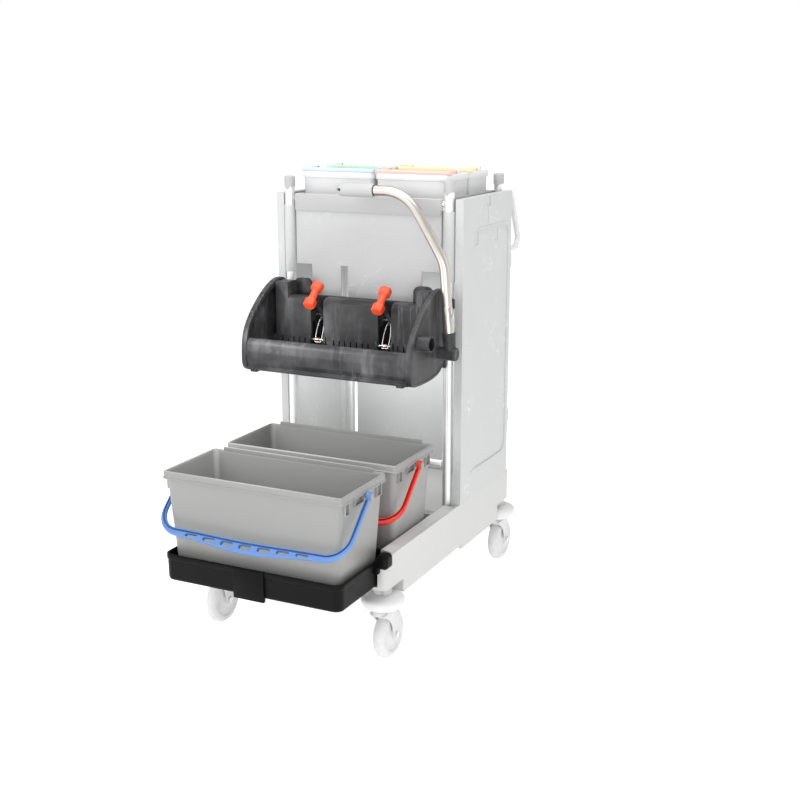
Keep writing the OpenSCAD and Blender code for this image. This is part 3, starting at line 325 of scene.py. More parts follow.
def loft(rings):
    """Skin over rings of equal count, with its ends closed."""
    bm = bmesh.new()
    rows = [[bm.verts.new(p) for p in points] for points in rings]
    for a, b in zip(rows, rows[1:]):
        for i in range(len(a)):
            j = (i + 1) % len(a)
            bm.faces.new((a[i], a[j], b[j], b[i]))
    bm.faces.new(reversed(rows[0]))
    bm.faces.new(rows[-1])
    return bm


def stacked(*runs):
    """Skin over levels. A run is a level's function, a height, and insets with rises from there."""
    return loft([level(inset, z + rise) for level, z, table in runs for inset, rise in table])


def turned(profile, place=Matrix(), steps=40, closed=False):
    """Solid of revolution about the local Z axis, from (radius, height) points."""
    bm = bmesh.new()
    rows = []
    for r, h in profile:
        turns = 1 if r == 0 else steps
        angles = [2 * pi * i / steps for i in range(turns)]
        rows.append([bm.verts.new((r * cos(a), r * sin(a), h)) for a in angles])
    pairs = list(zip(rows, rows[1:]))
    if closed:
        pairs.append((rows[-1], rows[0]))
    for a, b in pairs:
        for i in range(steps):
            j = (i + 1) % steps
            loop = [a[i % len(a)], a[j % len(a)], b[j % len(b)], b[i % len(b)]]
            bm.faces.new(list(dict.fromkeys(loop)))
    for row in (rows[0], rows[-1]):
        if len(row) > 1 and not closed:
            bm.faces.new(row)
    bm.transform(place)
    return bm


def doubled(profile):
    """Profile of a turned piece, and its mirror image above its middle."""
    return list(profile) + [(r, -h) for r, h in reversed(profile)]


def filleted(points, radii, steps=5):
    """Outline with its corners rounded, each by its own radius."""
    outline = []
    count = len(points)
    for i, r in enumerate(radii):
        a, b, c = (Vector(points[(i + k) % count]) for k in (-1, 0, 1))
        if r <= 0:
            outline.append(b)
            continue
        u, v = (a - b).normalized(), (c - b).normalized()
        half = u.angle(v) / 2
        cut = min(r / tan(half), 0.49 * (a - b).length, 0.49 * (c - b).length)
        centre = b + (u + v).normalized() * cut / cos(half)
        first, last = b + u * cut - centre, b + v * cut - centre
        start = atan2(first.y, first.x)
        sweep = (atan2(last.y, last.x) - start + pi) % (2 * pi) - pi
        for k in range(steps + 1):
            t = start + sweep * k / steps
            outline.append(centre + first.length * Vector((cos(t), sin(t))))
    return outline


def smooth_outline(points, steps=4):
    """Closed curve through points, by Catmull and Rom's rule."""
    outline = []
    count = len(points)
    for i in range(count):
        a, b, c, d = (Vector(points[(i + k) % count]) for k in (-1, 0, 1, 2))
        for s in range(steps):
            t = s / steps
            slope, bend, twist = c - a, 2 * a - 5 * b + 4 * c - d, 3 * b - a - 3 * c + d
            outline.append(0.5 * (2 * b + slope * t + bend * t * t + twist * t ** 3))
    return outline


def prism(outline, low, high, axis="x"):
    """Outline drawn along an axis. It is (y, z) along x, (x, z) along y and (x, y) along z."""
    def place(point, rise):
        given = (point[0], point[1], rise)
        return Vector([given[k] for k in AXES[axis]])

    return loft([[place(p, rise) for p in outline] for rise in (low, high)])


def block(low, high):
    """Box between two corners."""
    outline = [(low[0], low[1]), (high[0], low[1]), (high[0], high[1]), (low[0], high[1])]
    return prism(outline, low[2], high[2], "z")


def tidy(bm):
    """Merged and outward faces."""
    bmesh.ops.remove_doubles(bm, verts=bm.verts[:], dist=MERGE)
    bmesh.ops.recalc_face_normals(bm, faces=bm.faces[:])
    return bm


def eased(bm, width, angle=34, segments=2):
    """Sharp edges rounded off."""
    tidy(bm)
    limit = radians(angle)
    sharp = [e for e in bm.edges if e.is_manifold and e.calc_face_angle(0) > limit]
    bmesh.ops.bevel(bm, geom=sharp, offset=width, segments=segments, profile=0.5, affect="EDGES",
                    clamp_overlap=True)
    bmesh.ops.dissolve_degenerate(bm, dist=SLIVER, edges=bm.edges[:])
    return bm


def joined(*parts):
    """Several meshes in one."""
    whole = bmesh.new()
    for part in parts:
        mesh = bpy.data.meshes.new("part")
        tidy(part).to_mesh(mesh)
        part.free()
        whole.from_mesh(mesh)
        bpy.data.meshes.remove(mesh)
    return whole


def placed(name, data):
    """New object in the scene."""
    obj = bpy.data.objects.new(name, data)
    bpy.context.scene.collection.objects.link(obj)
    return obj


def scratch_object(bm, name):
    """Mesh object for a modifier to work on."""
    mesh = bpy.data.meshes.new(name)
    bm.to_mesh(mesh)
    bm.free()
    return placed(name, mesh)


def evaluated(obj):
    """What an object's modifiers make of it, as a mesh tool. The object is removed."""
    bpy.context.view_layer.update()
    graph = bpy.context.evaluated_depsgraph_get()
    mesh = bpy.data.meshes.new_from_object(obj.evaluated_get(graph))
    obj.modifiers.clear()
    bm = bmesh.new()
    bm.from_mesh(mesh)
    bpy.data.meshes.remove(mesh)
    bpy.data.objects.remove(obj)
    return bm


def shaped(bm, *others, cut=True):
    """A mesh with others cut out of it, or joined to it."""
    base = scratch_object(tidy(bm), "stock")
    tools = [scratch_object(tidy(other), "tool") for other in others]
    for tool in tools:
        step = base.modifiers.new("shape", "BOOLEAN")
        step.operation = "DIFFERENCE" if cut else "UNION"
        step.solver = "EXACT"
        step.object = tool
    result = evaluated(base)
    for tool in tools:
        bpy.data.objects.remove(tool)
    return result


def copy_of(node):
    """A node's mesh on the drawing, merged, its flat faces whole."""
    bm = bmesh.new()
    bm.from_mesh(frame["nodes"][node].data)
    bm.transform(TO_DRAWING)
    tidy(bm)
    bmesh.ops.dissolve_limit(bm, angle_limit=FLAT, verts=bm.verts[:], edges=bm.edges[:])
    return bm


def mirrored(bm):
    """The same mesh on the other side."""
    other = bm.copy()
    other.transform(Matrix.Scale(-1, 4, (1, 0, 0)))
    bmesh.ops.reverse_faces(other, faces=other.faces[:])
    return other


def settle(name, bm, slot, nodes=(), body=None, smooth=38):
    """A finished piece: it rides on a body, takes a finish and stands for its nodes."""
    mesh = bpy.data.meshes.new(name)
    tidy(bm).to_mesh(mesh)
    bm.free()
    mesh.transform(TO_FRAME)
    mesh.materials.clear()
    mesh.materials.append(FINISHES[slot])
    mesh.shade_smooth()
    mesh.set_sharp_from_angle(angle=radians(smooth))
    obj = placed(name, mesh)
    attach(obj, body or body_of(nodes[0]))
    if nodes:
        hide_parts(*nodes)


# Geometry Nodes trees
def new_tree(name, inputs):
    """Empty geometry tree with named inputs."""
    tree = bpy.data.node_groups.new(name, "GeometryNodeTree")
    tree.interface.new_socket("Geometry", in_out="INPUT", socket_type="NodeSocketGeometry")
    for label, kind in inputs.items():
        tree.interface.new_socket(label, in_out="INPUT", socket_type="NodeSocket" + kind)
    tree.interface.new_socket("Geometry", in_out="OUTPUT", socket_type="NodeSocketGeometry")
    bench = Bench(tree)
    source = tree.nodes.new("NodeGroupInput")
    wires = {socket.name: Wire(bench, socket) for socket in source.outputs if socket.name}
    return bench, wires


def end_tree(bench, geometry, material):
    """Instances made real and dressed."""
    real = bench.node("GeometryNodeRealizeInstances", {"Geometry": geometry})
    coated = bench.node("GeometryNodeSetMaterial", {"Geometry": real, "Material": material})
    bench.node("NodeGroupOutput", {"Geometry": coated})
    return bench.tree


def tube_tree():
    """Round tube along the edges of a mesh, with filleted corners."""
    bench, given = new_tree("tube_along_path", {
        "Radius": "Float", "Bend": "Float", "Bend Steps": "Int", "Sides": "Int", "Material": "Material"})
    path = bench.node("GeometryNodeMeshToCurve", {"Mesh": given["Geometry"]})
    bent = bench.node("GeometryNodeFilletCurve", {
        "Curve": path, "Count": given["Bend Steps"], "Radius": given["Bend"], "Limit Radius": True},
        mode="POLY")
    section = bench.node("GeometryNodeCurvePrimitiveCircle", {
        "Resolution": given["Sides"], "Radius": given["Radius"]})
    skin = bench.node("GeometryNodeCurveToMesh", {
        "Curve": bent, "Profile Curve": section, "Fill Caps": True})
    return end_tree(bench, skin, given["Material"])


def copies_tree():
    """A part set on every point of a mesh."""
    bench, given = new_tree("copies_on_points", {"Part": "Object", "Material": "Material"})
    part = bench.node("GeometryNodeObjectInfo", {"Object": given["Part"]}, out=4,
                      transform_space="ORIGINAL")
    copies = bench.node("GeometryNodeInstanceOnPoints", {
        "Points": given["Geometry"], "Instance": part})
    return end_tree(bench, copies, given["Material"])


TUBE, COPIES = tube_tree(), copies_tree()


def grown(tree, base, **values):
    """The mesh that a tree grows from a base, with inputs set by label."""
    obj = scratch_object(base, "seed")
    step = obj.modifiers.new("grow", "NODES")
    step.node_group = tree
    ids = {item.name: item.identifier for item in tree.interface.items_tree if item.in_out == "INPUT"}
    for label, value in values.items():
        step[ids[label.replace("_", " ")]] = value
    return evaluated(obj)


def tube(paths, radius, slot, bend=0.0, sides=20, bend_steps=10, closed=False):
    """Tubes along paths of points."""
    lines = bmesh.new()
    for path in paths:
        verts = [lines.verts.new(p) for p in path]
        pairs = list(zip(verts, verts[1:]))
        if closed:
            pairs.append((verts[-1], verts[0]))
        for pair in pairs:
            lines.edges.new(pair)
    return grown(TUBE, lines, Radius=radius, Bend=bend, Bend_Steps=bend_steps, Sides=sides,
                 Material=FINISHES[slot])


def spread(part, points, slot):
    """Copies of a part on points."""
    seed = bmesh.new()
    for p in points:
        seed.verts.new(p)
    stock = scratch_object(tidy(part), "copy_part")
    made = grown(COPIES, seed, Part=stock, Material=FINISHES[slot])
    bpy.data.objects.remove(stock)
    return made


# Buckets
BUCKET_X = 240
BUCKET_Y = 110
BUCKET_H = 260
BUCKET_LIP = 6
BUCKET_RIM = 18
BUCKET_TAPER = 17
BUCKET_WALL = 3
WALL_R = 17
WALL_R_LOSS = 5
LEAST_R = 3
RIM_R = 14
# Inset of the skin with its rise from the floor, the rim's foot (neck, flange), the top, and the floor
BUCKET_FOOT = ((8, 0), (3, 1), (0.8, 4), (0, 8), (0, 130))
BUCKET_NECK = ((0, -5), (-0.6, 0))
BUCKET_FLANGE = ((2.6, 0), (0.5, 0), (0, 0.6), (0, 2.8), (0.7, 3.6), (2, 4.4), (2.4, 6))
BUCKET_BAND = ((2.4, -3), (2.9, -1.2), (4.2, -0.2), (5.2, 0), (7.4, 0), (8.5, -0.5), (9, -2))
BUCKET_MOUTH = ((BUCKET_WALL, -7),)
BUCKET_INSIDE = ((BUCKET_WALL, 130), (BUCKET_WALL, 18), (4.5, 9), (8, 4.5), (13, BUCKET_WALL))
# Lip at the back: half its length, its rise, its depth below the top and its thickness
BACK_LIP = (206, 8, 9, 3.6)
# Pockets on the ends: where they start and stop from the middle, and how far they hang below the rim
POCKETS = ((-88, -73, 26), (-42, -5, 17), (62, 83, 26))
POCKET_FRAME = 2.2
POCKET_LEVEL = 12
FLANGE_NOTCHES = (-62, -52, 70)
NOTCH_HALF = 2.2
PIN_R = 5
PIN_L = 25.2
BAIL_PIN = ((0, 0), (PIN_R, 0), (PIN_R, 21.5), (7.8, 22), (8.5, 22.8), (8.3, 24.2), (7, 25), (0, PIN_L))
PIN_DROP = PIN_R + 1


def bucket(node):
    """Tapered tub with a banded rim, a back lip, framed pockets and bail pins."""
    low, high = box_of(node)
    mid = (0, (low.y + high.y) / 2)
    top = low.z + BUCKET_H
    under = top - BUCKET_RIM

    def wall(inset, z):
        fall = (top - z) / BUCKET_H
        draw = BUCKET_TAPER * fall + BUCKET_LIP + inset
        r = max(WALL_R - WALL_R_LOSS * fall - inset, LEAST_R)
        return ring(BUCKET_X - draw, BUCKET_Y - draw, r, z, mid)

    def rim(inset, z):
        return ring(BUCKET_X - inset, BUCKET_Y - inset, RIM_R - inset, z, mid)

    skin = stacked((wall, low.z, BUCKET_FOOT), (wall, under, BUCKET_NECK), (rim, under, BUCKET_FLANGE),
                   (rim, top, BUCKET_BAND), (wall, top, BUCKET_MOUTH), (wall, low.z, BUCKET_INSIDE))
    frames, cuts = [], []
    face = BUCKET_X - BUCKET_LIP - BUCKET_TAPER * (BUCKET_RIM + POCKET_LEVEL) / BUCKET_H
    for side in BOTH:
        for first, last, drop in POCKETS:
            for bag, grow, near, far in ((frames, POCKET_FRAME, face - 2, BUCKET_X - 3.6),
                                         (cuts, 0, face - 1.5, BUCKET_X + 2)):
                xs = sorted((side * near, side * far))
                bag.append(block((xs[0], mid[1] + first - grow, under - drop - grow),
                                 (xs[1], mid[1] + last + grow, under - 0.6 + grow / 4)))
        for y in FLANGE_NOTCHES:
            xs = sorted((side * (BUCKET_X - 2), side * (BUCKET_X + 3)))
            cuts.append(block((xs[0], mid[1] + y - NOTCH_HALF, under - 1),
                              (xs[1], mid[1] + y + NOTCH_HALF, under + 4.6)))
    body = shaped(shaped(skin, *frames, cut=False), *cuts)
    half, rise, drop, thick = BACK_LIP
    inner = mid[1] + BUCKET_Y - BUCKET_LIP - BUCKET_WALL
    lip = eased(block((-half, inner - 0.1, top - drop), (half, inner + thick, top + rise)), 1.3, segments=3)
    pin = turned(BAIL_PIN, along_x(high.x - PIN_L, mid[1], under - PIN_DROP), 28)
    pins = (pin, mirrored(pin))
    settle(node.replace("bucket", "pail"), joined(body, lip, *pins), "bucket_plastic", (node,))


# Bails
BAIL_T = 10
BAIL_W = 10.4
BAIL_EDGE = 1.6
BAIL_TILT = 43
BAIL_REACH = 190
BAIL_BOW = 14
BAIL_BAR = (18, 29)
BAIL_BENDS = (62, 48)
BAIL_ARM = (0, -28, -56, -84)
BEND_STEPS = 16
BAR_STEPS = 12
GROOVE_DEPTH = 7
BAIL_HOLES = 7
BAIL_PITCH = 49
HOLE_HALF = 16.5
HOLE_TALL = (3.7, 2.5)
HOLE_EDGE = 8.7
BAIL_EYE = ((5.2, 0), (9.6, 0), (11.5, 1.6), (11.5, 8.8), (9.6, BAIL_W), (5.2, BAIL_W))
BAIL_BORE = ((5.1, -2), (5.1, 13))


def bail_section(a, b):
    """Section of a bail from its inner to its outer edge, grooved on top."""
    a, b = Vector(a), Vector(b)
    wide = (b - a).length
    top = BAIL_T / 2
    edge, bed = BAIL_EDGE, top - GROOVE_DEPTH
    groove = 4.6 + 0.05 * (wide - BAIL_W)
    points = [(0, edge - top), (edge, -top), (wide - edge, -top), (wide, edge - top), (wide, top - edge),
              (wide - edge, top), (groove + 2.7, top), (groove + 2.4, bed), (groove - 2.1, bed),
              (groove - 2.4, top), (1.2, top), (0, top - 1.2)]
    flat = [a + (b - a).normalized() * across for across, _ in points]
    return [Vector((p.x, p.y, v)) for p, (_, v) in zip(flat, points)]


def bail(node, bucket_node, slot):
    """Grooved bail: arms with eyes, wide bends, and a bowed bar with finger holes."""
    out = box_of(node)[1].x
    inner = out - BAIL_W
    low, high = box_of(bucket_node)
    pivot = (0, (low.y + high.y) / 2, low.z + BUCKET_H - BUCKET_RIM - PIN_DROP)
    thin, wide = BAIL_BAR
    end = BAIL_REACH - BAIL_BOW
    bend_out, bend_in = BAIL_BENDS
    straight = out - bend_out

    def sag(share):
        return 0.5 + 0.5 * cos(pi * share)

    def inner_edge(share):
        return thin - end - sag(share) * (BAIL_BOW + thin - wide)

    half = [((inner, y), (out, y)) for y in (*BAIL_ARM, bend_out - end + 6)]
    for i in range(BEND_STEPS + 1):
        a = radians(-90 * i / BEND_STEPS)
        half.append((
            (inner - bend_in + bend_in * cos(a), thin - end + bend_in + bend_in * sin(a)),
            (out - bend_out + bend_out * cos(a), bend_out - end + bend_out * sin(a))))
    for i in range(1, BAR_STEPS + 1):
        t = 1 - i / BAR_STEPS
        half.append(((straight * t * 0.995, inner_edge(t)), (straight * t, -end - sag(t) * BAIL_BOW)))
    stations = half + [((-a[0], a[1]), (-b[0], b[1])) for a, b in reversed(half[:-1])]
    strap = loft([bail_section(a, b) for a, b in stations])
    eye = turned(BAIL_EYE, along_x(inner, 0, 0), 32, closed=True)
    bore = turned(BAIL_BORE, along_x(inner, 0, 0), 32)
    holes = []
    for i in range(BAIL_HOLES):
        x = (i - (BAIL_HOLES - 1) / 2) * BAIL_PITCH
        share = abs(x) / straight
        tall = HOLE_TALL[0] + HOLE_TALL[1] * sag(share)
        y = inner_edge(share) - HOLE_EDGE - tall
        rounded = [(p.x + x, p.y + y) for p in ring(HOLE_HALF, tall, tall - 0.1, 0)]
        holes.append(prism(rounded, -BAIL_T, BAIL_T, "z"))
    body = shaped(shaped(strap, eye, mirrored(eye), cut=False), *holes, bore, mirrored(bore))
    body.transform(shift(*pivot) @ spin(BAIL_TILT, "X"))
    settle(node.replace("bail", "bail_strap"), body, slot, (node,))


# Tray under the front bucket
TRAY_BLOCK_PROUD = 4
TRAY_BLOCK_HALF = 41
TRAY_BLOCK_DROP = 8
TRAY_R = 24
# Inset of the skin with its rise from the floor, the top, and the floor again
TRAY_FOOT = ((11, 0), (5.5, 1.2), (3.4, 4), (2.6, 9))
TRAY_RIM = ((2, -16), (1.8, -14.5), (0.5, -13.5), (0, -12.5), (0, -2.5), (0.6, -0.9), (2, 0), (4.2, 0),
            (5.5, -0.9), (6, -2.5))
TRAY_INSIDE = ((6, 14), (8, 7), (14, 4))


def tray():
    """Black tray with a banded rim and a block in the middle of its front."""
    low, high = box_of("front_tray")
    bottom, top = low.z + TRAY_BLOCK_DROP, high.z
    front = low.y + TRAY_BLOCK_PROUD
    mid = (0, (front + high.y) / 2)
    half_y = (high.y - front) / 2

    def level(inset, z):
        return ring(high.x - inset, half_y - inset, max(TRAY_R - inset, 4), z, mid)

    skin = stacked((level, bottom, TRAY_FOOT), (level, top, TRAY_RIM), (level, bottom, TRAY_INSIDE))
    boss = eased(block((-TRAY_BLOCK_HALF, low.y, low.z), (TRAY_BLOCK_HALF, front + 6, top - 0.4)), 2.4)
    settle("bucket_tray", shaped(skin, boss, cut=False), "tray_plastic", ("front_tray",))


def tray_clips():
    """Rounded hooks over the base's front corners, each with a neck to the tray."""
    low, high = box_of("tray_clips")
    x, y = high.x - 13, low.y
    hook = block((x, y + 1, low.z + 22), (high.x + 17, y + 38, high.z + 13))
    slit = block((x + 12, y - 3, low.z + 8), (x + 14.6, y + 3.4, high.z + 20))
    neck = block((x - 8, y + 6, low.z + 8), (x + 6, y + 30, high.z - 6))
    right = joined(shaped(eased(hook, 9.5, segments=5), eased(slit, 0.6)), eased(neck, 3))
    settle("tray_hooks", joined(right, mirrored(right)), "tray_plastic", ("tray_clips",))


# Press
CHEEK_IN = 221
CHEEK_OUT = 236
SHAFT = (-76, 688)
SOCKET = (-188, 732)
CHEEK_CURVE = (
    (-38, 828), (-38, 760), (-38, 690), (-46, 657), (-68, 638), (-98, 630), (-145, 626.5), (-200, 627.5),
    (-228, 634), (-238, 652), (-238, 684), (-234, 713), (-222, 742), (-195, 774), (-157, 806), (-116, 831),
    (-86, 842.5), (-62, 845), (-44, 841))
# Inset of a cheek's outline with its place from the inner face: recess, band, edge, scribed line
CHEEK_FORM = ((16, 11), (14.8, 10), (14, 0.6), (13.2, 0), (2.6, 0), (0.8, 0.7), (0, 2.4), (0, 12.6),
              (0.8, 14.3), (2.6, 15), (7.4, 15), (7.9, 14.1), (8.9, 14.1), (9.4, 15))
CHEEK_HUB = ((8.1, 0), (15, 0), (15, 14.4), (14, 15.2), (8.1, 15.2))
CHEEK_BOSS = ((16, 0), (21.5, 0), (19.8, 0.8), (19, 2.5), (19, 30.6), (18.4, 31.6), (17.8, 32), (16.8, 32),
              (16, 31.2))
CHEEK_RIB = ((-96, 838), (-40, 838), (-40, 704), (-60, 690), (-86, 700))
CHEEK_RIB_R = (6, 3, 8, 12, 10)


def cheek_outline(inset):
    """Smooth outline of a cheek, drawn in by an inset."""
    count = len(CHEEK_CURVE)
    moved = []
    for i, point in enumerate(CHEEK_CURVE):
        before, after = Vector(CHEEK_CURVE[i - 1]), Vector(CHEEK_CURVE[(i + 1) % count])
        along = (after - before).normalized()
        moved.append(Vector(point) + Vector((along.y, -along.x)) * inset)
    return smooth_outline(moved)


def cheek(side):
    """Cheek with an edge band, a recess inside and a scribed line outside; the right has a boss."""
    form = [[Vector((CHEEK_IN + x, *p)) for p in cheek_outline(inset)] for inset, x in CHEEK_FORM]
    parts = [loft(form), turned(CHEEK_HUB, along_x(CHEEK_IN, *SHAFT), 36, closed=True)]
    if side == "right":
        parts.append(turned(CHEEK_BOSS, along_x(CHEEK_OUT - 0.4, *SOCKET), 44, closed=True))
        rib = prism(filleted(CHEEK_RIB, CHEEK_RIB_R), CHEEK_OUT - 4, CHEEK_OUT + 2.4)
        parts.append(eased(rib, 1.2, 50))
    body = joined(*parts)
    if side == "left":
        body = mirrored(body)
    settle("press_side_" + side, body, "press_plastic", ("press_cheek_" + side,))


BAR_ROUNDS = (2, 8, 22, 30, 14, 2, 0.8, 1, 1.6, 4, 3, 1)
BAR_FEET = (-204, 204)


def front_bar():
    """Rounded front bar with a ledge along its foot and a foot at each end."""
    low, high = box_of("press_front_bar")
    y, back, foot, top = low.y, high.y, low.z, high.z
    face = [(back, top - 3), (y + 14, top), (y + 5, top - 10), (y + 1, top - 34), (y + 2, foot + 27),
            (y + 6, foot + 17), (y + 6, foot + 14), (y + 0.6, foot + 12), (y + 0.6, foot + 8),
            (y + 8, foot + 4), (y + 16, foot + 4), (back, foot + 4)]
    bar = prism(filleted(face, BAR_ROUNDS, 6), -CHEEK_IN - 2, CHEEK_IN + 2)
    pad = eased(block((-10, y + 4, foot), (10, back - 4, foot + 8)), 2.4, segments=3)
    pads = spread(pad, [(x, 0, 0) for x in BAR_FEET], "press_plastic")
    settle("press_bar", joined(bar, pads), "press_plastic", ("press_front_bar",))


# Moving plate and latches
PLATE_FRONT = -97
PLATE_BACK = -90
PLATE_EAR = (182, 218)
EAR_DEPTH = 56
EAR_RISE = 34.7
SHELF_H = 15
LATCH_X = 96
LATCH_SLOT = 18
SLOT_DEPTH = 124
LATCH_PIVOT = (-58, 754.3)
CATCH = (-97, 696.3)
COMB_PITCH = 16.6
COMB_ROWS = ((-166, 5), (0, 7), (166, 5))
SLIT_HALF = 1.9
SLIT_RISES = (48, 62)
ROLL_ROUNDS = (0.5, 9, 22, 2, 1.5, 6, 0.5)
EAR_ROUNDS = (2, 16, 3, 1)
# Lugs behind the plate: where they start and stop, as (y, z)
CAM_LUG = ((PLATE_BACK - 1, 747), (-51.6, 763))
PIVOT_LUG = ((PLATE_BACK - 1, 740.4), (-49.2, 766.2))
CATCH_LUG = ((-101.8, 686.4), (-85.2, 706.2))
CAM_X = 148
CAM_HALF = 10
LUG_T = 6
LUG_GAP = 18.3


def plate_sheet(low, high, fold, slot_low):
    """The plate's sheet with its ears, latch slots and comb of drains."""
    ear_in, ear_out = PLATE_EAR
    outline, rounds = [(-ear_out, low.z), (ear_out, low.z)], [2, 2]
    outline += [(ear_out, high.z), (ear_in, high.z), (ear_in, fold)]
    rounds += [4, 4, 3]
    for x in (LATCH_X, -LATCH_X):
        outline += [(x + LATCH_SLOT, fold), (x + LATCH_SLOT, slot_low), (x - LATCH_SLOT, slot_low),
                    (x - LATCH_SLOT, fold)]
        rounds += [0.6, 3, 3, 0.6]
    outline += [(-ear_in, fold), (-ear_in, high.z), (-ear_out, high.z)]
    rounds += [3, 4, 4]
    sheet = eased(prism(filleted(outline, rounds, 4), PLATE_FRONT, PLATE_BACK, "y"), 1.4, 50)
    foot, head = SLIT_RISES
    slit = block((-SLIT_HALF, PLATE_FRONT - 5, low.z + foot), (SLIT_HALF, PLATE_BACK + 5, low.z + head))
    places = [(mid + (i - (count - 1) / 2) * COMB_PITCH, 0, 0)
              for mid, count in COMB_ROWS for i in range(count)]
    return shaped(sheet, spread(slit, places, "press_plastic"))


def plate_lug(x, wide, corners):
    """One lug of the plate, from its left side."""
    near, far = corners
    return eased(block((x, *near), (x + wide, *far)), 1.5)


def moving_plate():
    """Moving plate with deep ears, a rolled shelf along its top and lugs."""
    low, high = box_of("press_plate")
    front, back = PLATE_FRONT, PLATE_BACK
    top = high.z - EAR_RISE
    fold = top - SHELF_H
    sheet = plate_sheet(low, high, fold, top - SLOT_DEPTH)
    foot = fold - 4
    roll = [(front, foot), (front, top - 9), (front + 12, top - 1), (back + 27, top), (back + 27, top - 9),
            (back + 6, top - 11), (back, foot)]
    profile = filleted(roll, ROLL_ROUNDS, 6)
    ear_in, ear_out = PLATE_EAR
    near, far = LATCH_X - LATCH_SLOT, LATCH_X + LATCH_SLOT
    parts = [eased(prism(profile, start, stop), 1.0, 60)
             for start, stop in ((-ear_in - 0.5, -far), (-near, near), (far, ear_in + 0.5))]
    side = [(front + 1, high.z), (front + EAR_DEPTH, high.z), (front + EAR_DEPTH, foot), (front + 1, foot)]
    ear = eased(prism(filleted(side, EAR_ROUNDS, 6), ear_in + 0.4, ear_out - 0.4), 1.4, 50)
    parts += [ear, mirrored(ear)]
    for sx in BOTH:
        parts.append(plate_lug(sx * CAM_X - CAM_HALF, 2 * CAM_HALF, CAM_LUG))
        for x in (sx * LATCH_X - LUG_GAP - LUG_T, sx * LATCH_X + LUG_GAP):
            parts.append(plate_lug(x, LUG_T, PIVOT_LUG))
            parts.append(plate_lug(x, LUG_T, CATCH_LUG))
    settle("squeeze_plate", shaped(sheet, *parts, cut=False), "press_plastic", ("press_plate",))


PIVOT_PIN = ((0, 0), (2.2, 0), (3, 0.8), (3, 47.2), (2.2, 48), (0, 48))
CATCH_PIN = ((0, 0), (1.6, 0), (2, 0.6), (2, 43.4), (1.6, 44), (0, 44))
CATCH_ROLLER = ((2.05, 0), (4.6, 0), (5.4, 0.9), (5.4, 3.4), (4.7, 4.2), (4.7, 7.8), (5.4, 8.6), (5.4, 11.1),
                (4.6, 12), (2.05, 12))


def latch_pins():
    """Steel pins of the latches, and their copper catch rollers."""
    pins, rollers = [], []
    for sx in BOTH:
        pins.append(turned(PIVOT_PIN, along_x(sx * LATCH_X - 24, *LATCH_PIVOT), 20))
        pins.append(turned(CATCH_PIN, along_x(sx * LATCH_X - 22, *CATCH), 16))
        rollers.append(turned(CATCH_ROLLER, along_x(sx * LATCH_X - 6, *CATCH), 28, closed=True))
    settle("latch_pin_rods", joined(*pins), "bright_steel", (), "press_plate")
    settle("catch_rollers", joined(*rollers), "copper_roller", ("latch_pins",))


KNOB_REACH = (-54, 59)
KNOB_STEPS = 36
KNOB_CORNER = 1.115
# Place along a knob, radius, and how six-sided it is there
KNOB_FORM = ((-37, 10.6, 1.0), (-36.7, 12.4, 1.0), (-35.4, 13.8, 1.0), (-34, 14.2, 1.0), (-17.4, 14.2, 1.0),
             (-15.6, 13.2, 1.0), (-14.2, 10.9, 0.6), (-12, 9.7, 0.1), (-6, 9.3, 0.0))


def knob(side):
    """Knob across a latch arm: two six-sided ends and a round waist."""
    reach = hypot(*KNOB_REACH)
    lean = atan2(-KNOB_REACH[0], KNOB_REACH[1])
    form = list(KNOB_FORM) + [(-h, r, six) for h, r, six in reversed(KNOB_FORM)]
    rings = []
    for h, r, six in form:
        loop = []
        for i in range(KNOB_STEPS):
            a = 2 * pi * i / KNOB_STEPS
            flat = 1 / cos((a + pi / 6) % (pi / 3) - pi / 6)
            wide = r * (1 + six * (min(flat, KNOB_CORNER) - 1) + (1 - six) * 0.02)
            loop.append(Vector((wide * cos(a), wide * sin(a), h)))
        rings.append(loop)
    body = loft(rings)
    body.transform(shift(SIDES[side] * LATCH_X, *LATCH_PIVOT) @ Matrix.Rotation(lean, 4, "X")
                   @ shift(0, 0, reach) @ spin(90, "X"))
    settle("knob_" + side, body, "knob_red", ("latch_knob_" + side,), smooth=28)


WIRE_R = 1.5
WIRE_TOP = (-70, 748.3)
WIRE_FOOT = (-94.7, 689.4)
# Share of a wire's length, and how far its legs stand from its middle there
WIRE_LEGS = ((0.0, 4.6), (0.12, 6.2), (0.3, 8.2), (0.5, 9.4), (0.75, 9.3), (1.0, 8.4))


def wire(side):
    """Hairpin wire from a latch arm to its catch roller, bowed out between them."""
    x = SIDES[side] * LATCH_X
    top, foot = Vector(WIRE_TOP), Vector(WIRE_FOOT)
    right = [(x + half, *(top + (foot - top) * t)) for t, half in WIRE_LEGS]
    left = [(x - half, *(top + (foot - top) * t)) for t, half in reversed(WIRE_LEGS)]
    loop = tube([right + left], WIRE_R, "bright_steel", bend=2.2, sides=14, bend_steps=5, closed=True)
    settle("hairpin_" + side, loop, "bright_steel", ("latch_wire_" + side,))


